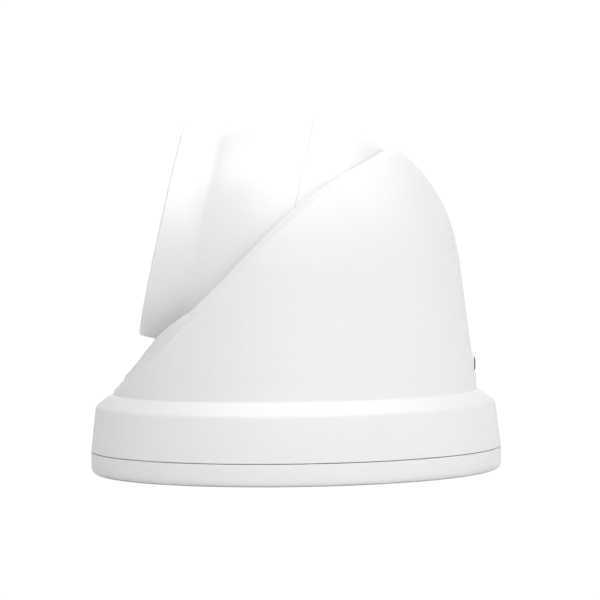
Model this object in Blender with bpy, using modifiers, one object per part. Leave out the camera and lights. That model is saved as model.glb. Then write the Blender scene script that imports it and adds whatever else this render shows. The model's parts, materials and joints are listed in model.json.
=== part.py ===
"""Turret security camera: a mounting base, a hood that pans on it, a yoke that tilts and a ball that turns.

Metres, +Z up. The base stands on Z = 0 with its centre at the origin, and the lens looks towards -Y.
"""

import math

import bmesh
import bpy
from mathutils import Matrix

MM = 0.001

# Driving dimensions
BASE_RADIUS = 69.15 * MM
SEAM_Z = 7.5 * MM
SEAM_GAP = 0.3 * MM
FIT_GAP = 0.3 * MM

SKIRT_TOP_RADIUS = 67.37 * MM
SKIRT_TOP_Z = 22.6 * MM
HOOD_FOOT_RADIUS = 61.25 * MM
HOOD_FOOT_Z = 26.5 * MM
HOOD_WALL = 2.6 * MM
HOOD_DRAFT = math.radians(6.9)
DOME_RADIUS = 53.6 * MM
DOME_CENTRE_RADIUS = 2.3 * MM
DOME_CENTRE_Z = 65.83 * MM

RIM_FRONT_Y = -61.9 * MM
RIM_FRONT_Z = 25.3 * MM
RIM_BEND_START_Y = -9.0 * MM
RIM_BEND_END_Y = 22.0 * MM
RIM_LOW_SLOPE = math.radians(44.4)
RIM_HIGH_SLOPE = math.radians(28.0)
RIM_BEVEL_RISE = 2.9 * MM

BALL_RADIUS = 47.5 * MM
BALL_WALL = 2.5 * MM
BALL_CENTRE = (0.0, -2.83 * MM, 73.82 * MM)
REST_TILT = math.radians(13.2)
FACE_RADIUS = 36.7 * MM
FACE_PLANE = 41.9 * MM
NECK_DROP = 1.5 * MM
NECK_BLEND_START = 26.0 * MM
NECK_BLEND_END = 34.0 * MM

YOKE_INNER_RADIUS = 48.2 * MM
YOKE_OUTER_RADIUS = 50.2 * MM
YOKE_WIDTH = 9.6 * MM
SHAFT_RADIUS = 4.2 * MM
SHAFT_BORE = 2.4 * MM

SPIGOT_RADIUS = 19.0 * MM
SPIGOT_BORE = 14.0 * MM
SPIGOT_TOP = 12.0 * MM
FLOOR_TOP = 3.0 * MM
CHASSIS_Z = 8.8 * MM
CHASSIS_THICKNESS = 2.0 * MM
CHASSIS_SCREW_CIRCLE = 57.0 * MM
CHASSIS_POST_RADIUS = 3.2 * MM
RETAINER_SCREW_CIRCLE = 16.5 * MM
RETAINER_THICKNESS = 1.6 * MM
WALL_SCREW_CIRCLE = 45.0 * MM
WALL_SCREW_HOLE = 2.5 * MM
LAND_RADIUS = 31.0 * MM
LAND_RISE = 4.2 * MM
SEAL_INNER = 59.3 * MM
SEAL_OUTER = 63.3 * MM
SEAL_DEPTH = 1.6 * MM
CABLE_HOLE_RADIUS = 6.5 * MM

SPEAKER_Z = 77.2 * MM
LOCK_SCREW_Z = 34.9 * MM
LED_CIRCLE = 21.0 * MM
ROUND_SEGMENTS = 48
BALL_SEGMENTS = 36
MIDDLE_SEGMENTS = 24
SMALL_SEGMENTS = 16
SCREW_SEGMENTS = 10
HOLE_TURN = (0.0, 0.0, math.radians(11.0))

WHITE = (0.86, 0.86, 0.855)
SATIN_WHITE = (0.88, 0.88, 0.875)
BLACK = (0.02, 0.02, 0.022)
RUBBER = (0.035, 0.035, 0.037)
NYLON = (0.72, 0.71, 0.67)
STEEL = (0.62, 0.62, 0.64)
BRASS = (0.78, 0.6, 0.3)
ALUMINIUM = (0.72, 0.73, 0.75)
BOARD_GREEN = (0.03, 0.16, 0.08)
GLASS = (0.05, 0.05, 0.06)


# Scene and materials

def clear_scene():
    for thing in list(bpy.data.objects):
        bpy.data.objects.remove(thing, do_unlink=True)


def new_collection(name):
    group = bpy.data.collections.new(name)
    bpy.context.scene.collection.children.link(group)
    return group


def material(name, colour, roughness, metallic=0.0):
    made = bpy.data.materials.get(name)
    if made is None:
        made = bpy.data.materials.new(name)
        made.use_nodes = True
        shader = made.node_tree.nodes["Principled BSDF"]
        shader.inputs["Base Color"].default_value = (*colour, 1.0)
        shader.inputs["Roughness"].default_value = roughness
        shader.inputs["Metallic"].default_value = metallic
    return made


FINISHES = {
    "white_grain": (WHITE, 0.55, 0.0),
    "white_satin": (SATIN_WHITE, 0.4, 0.0),
    "black_plastic": (BLACK, 0.35, 0.0),
    "rubber": (RUBBER, 0.8, 0.0),
    "nylon": (NYLON, 0.5, 0.0),
    "steel": (STEEL, 0.3, 1.0),
    "brass": (BRASS, 0.35, 1.0),
    "aluminium": (ALUMINIUM, 0.4, 1.0),
    "circuit_board": (BOARD_GREEN, 0.5, 0.0),
    "lens_glass": (GLASS, 0.05, 0.0),
    "foam": (RUBBER, 0.95, 0.0),
    "led_epoxy": (NYLON, 0.15, 0.0),
}


# Ways of making a shape

def place(thing, finish, location, rotation, parent):
    if finish is None:
        CUTTERS.objects.link(thing)
        thing.hide_render = True
        thing.display_type = "WIRE"
    else:
        PARTS.objects.link(thing)
        thing.data.materials.append(material(finish, *FINISHES[finish]))
    thing.location = location
    thing.rotation_euler = rotation
    thing.parent = parent
    return thing


def empty(name, location, rotation=(0.0, 0.0, 0.0), parent=None):
    thing = bpy.data.objects.new(name, None)
    PARTS.objects.link(thing)
    thing.location = location
    thing.rotation_euler = rotation
    thing.parent = parent
    return thing


def shade(mesh):
    mesh.shade_smooth()
    mesh.set_sharp_from_angle(angle=math.radians(35))


def turned(name, profile, finish, segments=SMALL_SEGMENTS, closed=False,
           location=(0.0, 0.0, 0.0), rotation=(0.0, 0.0, 0.0), parent=None):
    """A profile of (radius, height) turned about local Z: top to bottom down the outer side."""
    mesh = bpy.data.meshes.new(name)
    points = [(radius, 0.0, height) for radius, height in profile]
    edges = [(i, i + 1) for i in range(len(points) - 1)]
    if closed:
        edges.append((len(points) - 1, 0))
    mesh.from_pydata(points, edges, [])
    thing = bpy.data.objects.new(name, mesh)
    spin = thing.modifiers.new("turn", "SCREW")
    spin.axis = "Z"
    spin.steps = segments
    spin.render_steps = segments
    spin.use_merge_vertices = True
    spin.merge_threshold = 0.00001
    return place(thing, finish, location, rotation, parent)


def disc(name, radius, low, high, finish, segments=SMALL_SEGMENTS, **where):
    profile = [(0.0, high), (radius, high), (radius, low), (0.0, low)]
    return turned(name, profile, finish, segments, **where)


def ring(name, inner, outer, low, high, finish, segments=SMALL_SEGMENTS, **where):
    profile = [(inner, high), (outer, high), (outer, low), (inner, low)]
    return turned(name, profile, finish, segments, closed=True, **where)


def box(name, size, centre, finish, location=(0.0, 0.0, 0.0), rotation=(0.0, 0.0, 0.0),
        parent=None):
    mesh = bpy.data.meshes.new(name)
    form = bmesh.new()
    bmesh.ops.create_cube(form, size=1.0)
    bmesh.ops.scale(form, vec=size, verts=form.verts)
    bmesh.ops.translate(form, vec=centre, verts=form.verts)
    form.to_mesh(mesh)
    form.free()
    return place(bpy.data.objects.new(name, mesh), finish, location, rotation, parent)


def combine(thing, other, operation, solver="EXACT"):
    step = thing.modifiers.new(operation.lower(), "BOOLEAN")
    step.operation = operation
    step.object = other
    step.solver = solver
    return thing


def cut(thing, other, solver="EXACT"):
    return combine(thing, other, "DIFFERENCE", solver)


def join(thing, other, solver="EXACT"):
    return combine(thing, other, "UNION", solver)


def plain_mesh(thing):
    """The turned piece as a mesh without modifiers, so that its points can still be moved."""
    graph = bpy.context.evaluated_depsgraph_get()
    mesh = bpy.data.meshes.new_from_object(thing.evaluated_get(graph))
    thing.modifiers.clear()
    thing.data = mesh
    return mesh


def along(angle, radius):
    return (radius * math.cos(angle), radius * math.sin(angle))


def third(i):
    """One of three directions a third of a turn apart, with the first straight back."""
    return math.radians(90 + 120 * i)


def between_thirds(i):
    """One of the three directions halfway between those."""
    return third(i) + math.radians(60)


def sphere_arc(radius, start, end, steps):
    """Points (r, z) on a sphere between two angles measured up from its equator."""
    angles = [start + (end - start) * i / steps for i in range(steps + 1)]
    return [along(angle, radius) for angle in angles]


# The hood's form

def hood_outer(height):
    """Outer radius of the hood's wall: a drafted cone that runs into a bell."""
    dome_start = DOME_CENTRE_Z + DOME_RADIUS * math.sin(HOOD_DRAFT)
    if height <= dome_start:
        return HOOD_FOOT_RADIUS - (height - HOOD_FOOT_Z) * math.tan(HOOD_DRAFT)
    return DOME_CENTRE_RADIUS + math.sqrt(DOME_RADIUS ** 2 - (height - DOME_CENTRE_Z) ** 2)


def hood_inner(height):
    """Inner radius of the same wall, one wall thickness inside it."""
    inside = DOME_RADIUS - HOOD_WALL
    dome_start = DOME_CENTRE_Z + inside * math.sin(HOOD_DRAFT)
    if height <= dome_start:
        return hood_outer(height) - HOOD_WALL / math.cos(HOOD_DRAFT)
    return DOME_CENTRE_RADIUS + math.sqrt(inside ** 2 - (height - DOME_CENTRE_Z) ** 2)


def rim_slope(y):
    bend = (y - RIM_BEND_START_Y) / (RIM_BEND_END_Y - RIM_BEND_START_Y)
    bend = min(max(bend, 0.0), 1.0)
    sine = math.sin(RIM_LOW_SLOPE) + bend * (math.sin(RIM_HIGH_SLOPE) - math.sin(RIM_LOW_SLOPE))
    return math.asin(sine)


def rim_height(y):
    """Side outline of the rim: a straight slope, an arc that eases it, and a flatter slope."""
    bend_start_z = RIM_FRONT_Z + (RIM_BEND_START_Y - RIM_FRONT_Y) * math.tan(RIM_LOW_SLOPE)
    if y <= RIM_BEND_START_Y:
        return bend_start_z - (RIM_BEND_START_Y - y) * math.tan(RIM_LOW_SLOPE)
    sines = math.sin(RIM_LOW_SLOPE) - math.sin(RIM_HIGH_SLOPE)
    bend_radius = (RIM_BEND_END_Y - RIM_BEND_START_Y) / sines
    eased = bend_radius * (math.cos(rim_slope(y)) - math.cos(RIM_LOW_SLOPE))
    past = max(y - RIM_BEND_END_Y, 0.0)
    return bend_start_z + eased + past * math.tan(RIM_HIGH_SLOPE)


def rim_meets(wall_radius, side, rise):
    """Height at which a wall meets the rim, raised by rise square to its slope, in one direction."""
    low = HOOD_FOOT_Z - 3.0 * MM
    high = DOME_CENTRE_Z + 44.0 * MM
    for _ in range(50):
        middle = (low + high) / 2
        y = wall_radius(middle) * side
        if middle < rim_height(y) + rise / math.cos(rim_slope(y)):
            low = middle
        else:
            high = middle
    return low


def hood_section(angle):
    """Closed section of the hood in one direction, from the rim down the outside and back up inside."""
    side = math.sin(angle)
    least = HOOD_FOOT_Z + 0.5 * MM
    outer_top = max(rim_meets(hood_outer, side, 0.0), least)
    inner_top = rim_meets(hood_inner, side, RIM_BEVEL_RISE)
    inner_foot = HOOD_FOOT_Z - 1.2 * MM
    steps = 7
    section = []
    for i in range(steps):
        share = math.sin(math.pi / 2 * i / steps) ** 1.2
        height = outer_top + (least - 0.3 * MM - outer_top) * share
        section.append((hood_outer(height), height))
    section += [
        (HOOD_FOOT_RADIUS + 0.5 * MM, HOOD_FOOT_Z),
        (HOOD_FOOT_RADIUS + 1.4 * MM, HOOD_FOOT_Z - 0.4 * MM),
        (SKIRT_TOP_RADIUS - 0.6 * MM, SKIRT_TOP_Z + 0.5 * MM),
        (SKIRT_TOP_RADIUS, SKIRT_TOP_Z - 0.2 * MM),
        (BASE_RADIUS, SEAM_Z + SEAM_GAP),
        (BASE_RADIUS - HOOD_WALL, SEAM_Z + SEAM_GAP),
        (SKIRT_TOP_RADIUS - HOOD_WALL, SKIRT_TOP_Z - 2.0 * MM),
        (hood_inner(inner_foot) + 0.3 * MM, inner_foot - 1.2 * MM),
    ]
    for i in range(steps):
        share = 1.0 - math.sin(math.pi / 2 * (1.0 - i / steps)) ** 1.2
        height = inner_foot + (inner_top - inner_foot) * share
        section.append((hood_inner(height), height))
    section.append((hood_inner(inner_top), inner_top))
    return section


def hood_body():
    """The hood's wall: its section is lofted round the vertical axis, because the rim's height changes."""
    form = bmesh.new()
    loops = []
    for i in range(ROUND_SEGMENTS):
        angle = 2 * math.pi * i / ROUND_SEGMENTS
        loops.append([form.verts.new((*along(angle, radius), height))
                      for radius, height in hood_section(angle)])
    for i, here in enumerate(loops):
        following = loops[(i + 1) % ROUND_SEGMENTS]
        for j in range(len(here)):
            k = (j + 1) % len(here)
            form.faces.new((here[j], here[k], following[k], following[j]))
    mesh = bpy.data.meshes.new("hood_shell")
    form.to_mesh(mesh)
    form.free()
    thing = bpy.data.objects.new("hood_shell", mesh)
    place(thing, "white_grain", (0.0, 0.0, 0.0), (0.0, 0.0, 0.0), PAN_AXIS)
    shade(mesh)
    return thing


def grille_cutter():
    """Small holes for the speaker, in five staggered rows."""
    pitch = 3.4 * MM
    row_pitch = 3.1 * MM
    mesh = bpy.data.meshes.new("grille_holes")
    form = bmesh.new()
    for row in range(-2, 3):
        holes = 9 if row % 2 == 0 else 10
        for column in range(holes):
            made = bmesh.ops.create_cone(form, cap_ends=True, segments=6, radius1=0.55 * MM,
                                         radius2=0.55 * MM, depth=18.0 * MM)
            bmesh.ops.translate(form, verts=made["verts"], vec=(
                (column - (holes - 1) / 2) * pitch, row * row_pitch, 0.0))
    form.to_mesh(mesh)
    form.free()
    thing = bpy.data.objects.new("grille_holes", mesh)
    return place(thing, None, (0.0, 52.0 * MM, SPEAKER_Z), (-math.pi / 2, 0.0, 0.0), PAN_AXIS)


def side_turn(sign):
    """Rotation that points local Z along +X or -X."""
    return (0.0, sign * math.pi / 2, 0.0)


BACKWARDS = (-math.pi / 2, 0.0, 0.0)


def hood_shell():
    hood = hood_body()
    for i in range(3):
        angle = between_thirds(i)
        spot = (*along(angle, CHASSIS_SCREW_CIRCLE), 0.0)
        low = CHASSIS_Z + CHASSIS_THICKNESS + FIT_GAP
        post = disc(f"chassis_post_{i + 1}", CHASSIS_POST_RADIUS, low, HOOD_FOOT_Z - 0.9 * MM, None,
                    SCREW_SEGMENTS, location=spot, rotation=HOLE_TURN, parent=PAN_AXIS)
        join(hood, post, "MANIFOLD")
        pilot = disc(f"chassis_pilot_{i + 1}", 1.45 * MM, low - MM, low + 6.0 * MM, None,
                     SCREW_SEGMENTS, location=spot, rotation=HOLE_TURN, parent=PAN_AXIS)
        cut(hood, pilot, "MANIFOLD")
    for name, sign in (("left", -1), ("right", 1)):
        boss = disc(f"pivot_boss_{name}", 4.5 * MM, 51.5 * MM, 54.0 * MM, None, SMALL_SEGMENTS,
                    location=BALL_CENTRE, rotation=side_turn(sign), parent=PAN_AXIS)
        join(hood, boss, "MANIFOLD")
        pilot = disc(f"pivot_pilot_{name}", 1.7 * MM, 50.0 * MM, 53.2 * MM, None, SCREW_SEGMENTS,
                     location=BALL_CENTRE, rotation=side_turn(sign), parent=PAN_AXIS)
        cut(hood, pilot, "MANIFOLD")
    pad = box("lock_pad", (10.0 * MM, 6.0 * MM, 8.0 * MM), (0.0, 58.0 * MM, 28.6 * MM), None,
              parent=PAN_AXIS)
    join(hood, pad, "MANIFOLD")
    pad_top = box("lock_pad_top", (10.0 * MM, 5.3 * MM, 6.4 * MM), (0.0, 57.65 * MM, 34.8 * MM),
                  None, parent=PAN_AXIS)
    join(hood, pad_top, "MANIFOLD")
    lock_hole = disc("lock_hole", 2.5 * MM, 50.0 * MM, 70.0 * MM, None, SMALL_SEGMENTS,
                     location=(0.0, 0.0, LOCK_SCREW_Z), rotation=BACKWARDS, parent=PAN_AXIS)
    cut(hood, lock_hole, "MANIFOLD")
    cut(hood, grille_cutter(), "MANIFOLD")


def collar():
    """Flat plate square to the rim's low slope, round the ball and inside the hood's wall."""
    thickness = 1.8 * MM
    depth = 5.4 * MM
    bottom = HOOD_FOOT_Z - 1.0 * MM
    steps = 14
    heights = [bottom + (DOME_CENTRE_Z + 40.0 * MM - bottom) * i / steps for i in range(steps + 1)]
    gap = 2 * FIT_GAP
    profile = [(0.0, heights[-1])]
    profile += [(hood_inner(height) - gap, height) for height in reversed(heights)]
    profile.append((0.0, bottom))
    piece = turned("rim_collar", profile, "white_grain", ROUND_SEGMENTS, parent=PAN_AXIS)
    tilt = (RIM_LOW_SLOPE, 0.0, 0.0)
    slab = box("collar_slab", (150 * MM, 150 * MM, thickness),
               (0.0, 0.0, depth + thickness / 2), None,
               location=BALL_CENTRE, rotation=tilt, parent=PAN_AXIS)
    combine(piece, slab, "INTERSECT")
    hole = disc("collar_hole", BALL_RADIUS + 0.6 * MM, -40 * MM, 40 * MM, None, BALL_SEGMENTS,
                location=BALL_CENTRE, rotation=tilt, parent=PAN_AXIS)
    cut(piece, hole)
    relief = disc("neck_relief", FACE_RADIUS + NECK_DROP + 1.6 * MM, 26.0 * MM, 70.0 * MM, None,
                  BALL_SEGMENTS, parent=TILT_AXIS)
    cut(piece, relief)
    back = box("collar_end", (150 * MM, 80 * MM, 120 * MM), (0.0, 50 * MM, 80 * MM), None,
               parent=PAN_AXIS)
    cut(piece, back)


# Fasteners

def pan_head_screw(name, shank_radius, length, head_radius, head_height, location, rotation,
                   parent):
    """A screw along local Z: the shank points up, and the head has a round drive recess."""
    socket = head_radius * 0.4
    profile = [
        (0.0, length),
        (shank_radius, length),
        (shank_radius, 0.0),
        (head_radius, 0.0),
        (head_radius * 0.8, -head_height),
        (socket, -head_height),
        (socket * 0.8, -head_height * 0.4),
        (0.0, -head_height * 0.4),
    ]
    return turned(name, profile, "steel", SCREW_SEGMENTS, location=location, rotation=rotation,
                  parent=parent)


# Base

def mounting_base():
    wall_top = SEAM_Z - 0.1 * MM
    profile = [
        (BASE_RADIUS - HOOD_WALL, wall_top),
        (BASE_RADIUS, wall_top),
        (BASE_RADIUS, 2.3 * MM),
        (BASE_RADIUS - 0.6 * MM, 0.9 * MM),
        (BASE_RADIUS - 2.2 * MM, 0.0),
        (SEAL_OUTER, 0.0),
        (SEAL_OUTER, SEAL_DEPTH),
        (SEAL_INNER, SEAL_DEPTH),
        (SEAL_INNER, 0.0),
        (SPIGOT_BORE, 0.0),
        (SPIGOT_BORE, SPIGOT_TOP),
        (SPIGOT_RADIUS, SPIGOT_TOP),
        (SPIGOT_RADIUS, FLOOR_TOP + LAND_RISE),
        (LAND_RADIUS, FLOOR_TOP + LAND_RISE),
        (LAND_RADIUS, FLOOR_TOP),
        (BASE_RADIUS - HOOD_WALL, FLOOR_TOP),
    ]
    base = turned("mounting_base", profile, "white_grain", ROUND_SEGMENTS, closed=True)
    for i in range(3):
        angle = third(i)
        spot = (*along(angle, WALL_SCREW_CIRCLE), 0.0)
        hole = disc(f"wall_screw_hole_{i + 1}", WALL_SCREW_HOLE, -5 * MM, 10 * MM, None,
                    SCREW_SEGMENTS, location=spot, rotation=HOLE_TURN)
        cut(base, hole)
        angle = between_thirds(i)
        spot = (*along(angle, RETAINER_SCREW_CIRCLE), 0.0)
        pilot = disc(f"retainer_pilot_{i + 1}", 1.35 * MM, 5.5 * MM, 20 * MM, None, SCREW_SEGMENTS,
                     location=spot, rotation=HOLE_TURN)
        cut(base, pilot)
    cut(base, mark_cutter())


def mark_cutter():
    """The alignment mark: a shallow triangle with its point down, cut into the ring's outer wall."""
    half_width = 4.1 * MM
    height = 3.4 * MM
    overrun = 0.6 * MM
    depth = 0.5 * MM
    reach = (height + overrun) / 1.5
    mesh = bpy.data.meshes.new("alignment_mark")
    form = bmesh.new()
    bmesh.ops.create_cone(form, cap_ends=True, segments=3, radius1=reach, radius2=reach,
                          depth=2 * depth)
    widen = half_width / (reach * math.sin(math.pi / 3))
    bmesh.ops.scale(form, vec=(widen, 1.0, 1.0), verts=form.verts)
    bmesh.ops.rotate(form, verts=form.verts, matrix=Matrix.Rotation(-math.pi / 2, 3, "X"))
    bmesh.ops.rotate(form, verts=form.verts, matrix=Matrix.Rotation(-math.pi / 2, 3, "Z"))
    form.to_mesh(mesh)
    form.free()
    angle = math.radians(56.0)
    spot = (*along(angle, BASE_RADIUS), SEAM_Z + overrun - reach / 2)
    return place(bpy.data.objects.new("alignment_mark", mesh), None, spot, (0.0, 0.0, angle), None)


def base_fittings():
    ring("base_seal", SEAL_INNER + FIT_GAP, SEAL_OUTER - FIT_GAP, 0.1 * MM, SEAL_DEPTH - FIT_GAP,
         "foam", BALL_SEGMENTS)
    ring("pan_friction_washer", SPIGOT_RADIUS + 0.6 * MM, LAND_RADIUS - MM,
         FLOOR_TOP + LAND_RISE + FIT_GAP, CHASSIS_Z - FIT_GAP, "nylon", MIDDLE_SEGMENTS)
    retainer_low = SPIGOT_TOP + FIT_GAP
    retainer = ring("pan_retainer", SPIGOT_BORE + FIT_GAP, 24.0 * MM, retainer_low,
                    retainer_low + RETAINER_THICKNESS, "steel", MIDDLE_SEGMENTS)
    grommet = [
        (CABLE_HOLE_RADIUS, 11.5 * MM),
        (10.5 * MM, 11.5 * MM),
        (SPIGOT_BORE - FIT_GAP, 8.5 * MM),
        (SPIGOT_BORE - FIT_GAP, 0.6 * MM),
        (CABLE_HOLE_RADIUS, 0.6 * MM),
    ]
    turned("cable_grommet", grommet, "rubber", MIDDLE_SEGMENTS, closed=True)
    for i in range(3):
        angle = between_thirds(i)
        spot = (*along(angle, RETAINER_SCREW_CIRCLE), retainer_low + RETAINER_THICKNESS + FIT_GAP)
        clearance = disc(f"retainer_hole_{i + 1}", 1.4 * MM, 10 * MM, 20 * MM, None,
                         SCREW_SEGMENTS, location=(spot[0], spot[1], 0.0), rotation=HOLE_TURN)
        cut(retainer, clearance)
        pan_head_screw(f"retainer_screw_{i + 1}", 1.05 * MM, 7.0 * MM, 2.1 * MM, 1.2 * MM, spot,
                       (math.pi, 0.0, 0.0), None)


# Hood fittings

def chassis():
    plate = ring("chassis_plate", SPIGOT_RADIUS + 0.4 * MM, 63.2 * MM, CHASSIS_Z,
                 CHASSIS_Z + CHASSIS_THICKNESS, "nylon", BALL_SEGMENTS, parent=PAN_AXIS)
    for i in range(3):
        angle = between_thirds(i)
        spot = (*along(angle, CHASSIS_SCREW_CIRCLE), CHASSIS_Z - FIT_GAP)
        hole = disc(f"chassis_hole_{i + 1}", 1.6 * MM, 0.0, 20 * MM, None, SCREW_SEGMENTS,
                    location=(spot[0], spot[1], 0.0), rotation=HOLE_TURN, parent=PAN_AXIS)
        cut(plate, hole)
        pan_head_screw(f"chassis_screw_{i + 1}", 1.2 * MM, 6.5 * MM, 2.7 * MM, 1.3 * MM, spot,
                       (0.0, 0.0, 0.0), PAN_AXIS)


def pivots():
    for name, sign in (("left", -1), ("right", 1)):
        where = {"location": BALL_CENTRE, "rotation": side_turn(sign), "parent": PAN_AXIS}
        ring(f"pivot_washer_{name}", 1.8 * MM, 4.4 * MM, 50.65 * MM, 51.25 * MM, "nylon", **where)
        profile = [
            (0.0, 52.9 * MM),
            (1.35 * MM, 52.9 * MM),
            (1.35 * MM, 49.6 * MM),
            (2.7 * MM, 48.4 * MM),
            (1.1 * MM, 48.4 * MM),
            (0.9 * MM, 49.2 * MM),
            (0.0, 49.2 * MM),
        ]
        turned(f"pivot_screw_{name}", profile, "steel", SCREW_SEGMENTS, **where)


def speaker():
    where = {"location": (0.0, 0.0, SPEAKER_Z), "rotation": BACKWARDS, "parent": PAN_AXIS}
    ring("speaker_gasket", 5.4 * MM, 6.8 * MM, 48.6 * MM, 49.1 * MM, "foam", **where)
    frame = [
        (6.1 * MM, 48.3 * MM),
        (7.2 * MM, 48.3 * MM),
        (7.2 * MM, 47.6 * MM),
        (4.6 * MM, 46.3 * MM),
        (1.8 * MM, 46.3 * MM),
        (1.8 * MM, 46.8 * MM),
        (4.4 * MM, 46.8 * MM),
    ]
    turned("speaker_frame", frame, "steel", closed=True, **where)
    cone = [
        (0.0, 47.6 * MM),
        (2.2 * MM, 47.6 * MM),
        (5.5 * MM, 48.35 * MM),
        (5.7 * MM, 48.2 * MM),
        (2.4 * MM, 47.2 * MM),
        (0.0, 47.2 * MM),
    ]
    turned("speaker_cone", cone, "black_plastic", **where)
    disc("speaker_magnet", 3.8 * MM, 44.95 * MM, 46.0 * MM, "steel", **where)


def pan_lock():
    where = {"location": (0.0, 0.0, LOCK_SCREW_Z), "rotation": BACKWARDS, "parent": PAN_AXIS}
    lock_screw = [
        (0.0, 60.95 * MM),
        (2.2 * MM, 60.95 * MM),
        (2.2 * MM, 58.4 * MM),
        (1.4 * MM, 58.4 * MM),
        (1.4 * MM, 53.4 * MM),
        (0.0, 53.4 * MM),
    ]
    screw = turned("lock_screw", lock_screw, "black_plastic", SMALL_SEGMENTS, **where)
    socket = disc("lock_socket", 1.2 * MM, 59.6 * MM, 63.0 * MM, None, 6, **where)
    cut(screw, socket)
    ring("lock_insert", 1.7 * MM, 2.3 * MM, 54.6 * MM, 58.1 * MM, "brass", **where)
    lever = box("lock_lever", (8.0 * MM, 3.0 * MM, 25.0 * MM), (0.0, 51.6 * MM, 25.4 * MM),
                "nylon", parent=PAN_AXIS)
    foot = box("lock_foot", (8.0 * MM, 27.5 * MM, 3.0 * MM), (0.0, 38.2 * MM, 13.4 * MM), None,
               parent=PAN_AXIS)
    join(lever, foot)


# Yoke

def tilt_yoke():
    half = YOKE_WIDTH / 2
    strap = ring("tilt_yoke", YOKE_INNER_RADIUS, YOKE_OUTER_RADIUS, -half, half, "aluminium",
                 BALL_SEGMENTS, rotation=(math.pi / 2, 0.0, 0.0), parent=TILT_AXIS)
    front = box("yoke_front", (120 * MM, 20 * MM, 60 * MM), (0.0, 0.0, 31.3 * MM), None,
                parent=TILT_AXIS)
    cut(strap, front, "MANIFOLD")
    for name, sign in (("left", -1), ("right", 1)):
        ear = disc(f"yoke_ear_{name}", half - 0.25 * MM, YOKE_INNER_RADIUS - 0.35 * MM,
                   YOKE_OUTER_RADIUS + 0.15 * MM, None, SMALL_SEGMENTS,
                   rotation=side_turn(sign), parent=TILT_AXIS)
        join(strap, ear, "MANIFOLD")
        sink = [
            (0.0, 60 * MM),
            (1.8 * MM, 60 * MM),
            (1.8 * MM, 49.8 * MM),
            (3.4 * MM, 48.3 * MM),
            (3.4 * MM, 40 * MM),
            (0.0, 40 * MM),
        ]
        hole = turned(f"yoke_sink_{name}", sink, None, SCREW_SEGMENTS,
                      rotation=side_turn(sign), parent=TILT_AXIS)
        cut(strap, hole, "MANIFOLD")
    hub = disc("yoke_hub", 7.5 * MM, -51.2 * MM, -48.4 * MM, None, SMALL_SEGMENTS, parent=TILT_AXIS)
    join(strap, hub, "MANIFOLD")
    bore = disc("yoke_bore", SHAFT_RADIUS + 0.4 * MM, -60 * MM, -30 * MM, None, SMALL_SEGMENTS,
                parent=TILT_AXIS)
    cut(strap, bore, "MANIFOLD")
    ring("swivel_washer", SHAFT_RADIUS + 0.4 * MM, 7.2 * MM, -52.2 * MM, -51.5 * MM, "nylon",
         parent=TILT_AXIS)


# Ball

def neck_drop(mesh):
    """Moves the neck and face down, smoothly, because they sit lower than the ball's own axis."""
    for vert in mesh.vertices:
        share = (vert.co.z - NECK_BLEND_START) / (NECK_BLEND_END - NECK_BLEND_START)
        share = min(max(share, 0.0), 1.0)
        vert.co.y -= NECK_DROP * share * share * (3 - 2 * share)


def ball_shells():
    inside = BALL_RADIUS - BALL_WALL
    seam = 0.12 * MM
    outer_top = math.asin(28.0 * MM / BALL_RADIUS)
    inner_top = math.asin(29.0 * MM / inside)
    equator = math.asin(seam / BALL_RADIUS)
    front = [
        (33.6 * MM, FACE_PLANE),
        (FACE_RADIUS - 0.8 * MM, FACE_PLANE),
        (FACE_RADIUS, FACE_PLANE - 0.8 * MM),
        (FACE_RADIUS + 0.1 * MM, 36.0 * MM),
        (37.15 * MM, 32.5 * MM),
        (37.75 * MM, 29.6 * MM),
    ]
    front += sphere_arc(BALL_RADIUS, outer_top, REST_TILT, 3)[:-1]
    front += sphere_arc(BALL_RADIUS, REST_TILT, equator, 2)
    front += sphere_arc(inside, equator, inner_top, 4)
    front += [
        (34.2 * MM, 32.0 * MM),
        (34.2 * MM, 35.5 * MM),
        (31.5 * MM, 36.3 * MM),
        (31.5 * MM, 38.0 * MM),
        (33.6 * MM, 38.0 * MM),
    ]
    shell = turned("ball_front_shell", front, "white_satin", BALL_SEGMENTS, closed=True,
                   parent=BALL_AXIS)
    mesh = plain_mesh(shell)
    neck_drop(mesh)
    shade(mesh)

    outer_pole = -math.acos(SHAFT_RADIUS / BALL_RADIUS)
    inner_pole = -math.acos(SHAFT_BORE / inside)
    rear = sphere_arc(BALL_RADIUS, -equator, outer_pole, 9)
    rear += [(SHAFT_RADIUS, -54.5 * MM), (SHAFT_BORE, -54.5 * MM)]
    rear += sphere_arc(inside, inner_pole, -equator, 7)
    shell = turned("ball_rear_shell", rear, "white_satin", BALL_SEGMENTS, closed=True,
                   parent=BALL_AXIS)
    plug_hole = disc("plug_hole", 3.0 * MM, -45 * MM, -28 * MM, None, SMALL_SEGMENTS,
                     location=(0.0, -30 * MM, 0.0), parent=BALL_AXIS)
    cut(shell, plug_hole)
    disc("service_plug", 2.7 * MM, -34.6 * MM, -31.5 * MM, "rubber", SMALL_SEGMENTS,
         location=(0.0, -30 * MM, 0.0), parent=BALL_AXIS)
    section = [(43.9 * MM + 0.7 * MM * math.cos(math.radians(90 - 72 * i)),
                0.7 * MM * math.sin(math.radians(90 - 72 * i))) for i in range(5)]
    turned("seam_o_ring", section, "rubber", MIDDLE_SEGMENTS, closed=True, parent=BALL_AXIS)
    ring("swivel_nut", 5.2 * MM, 7.2 * MM, -54.2 * MM, -52.5 * MM, "steel", 6, parent=BALL_AXIS)
    ring("cable_gland", 1.0 * MM, SHAFT_BORE - FIT_GAP, -54.2 * MM, -44.0 * MM, "rubber",
         SCREW_SEGMENTS, parent=BALL_AXIS)


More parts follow.
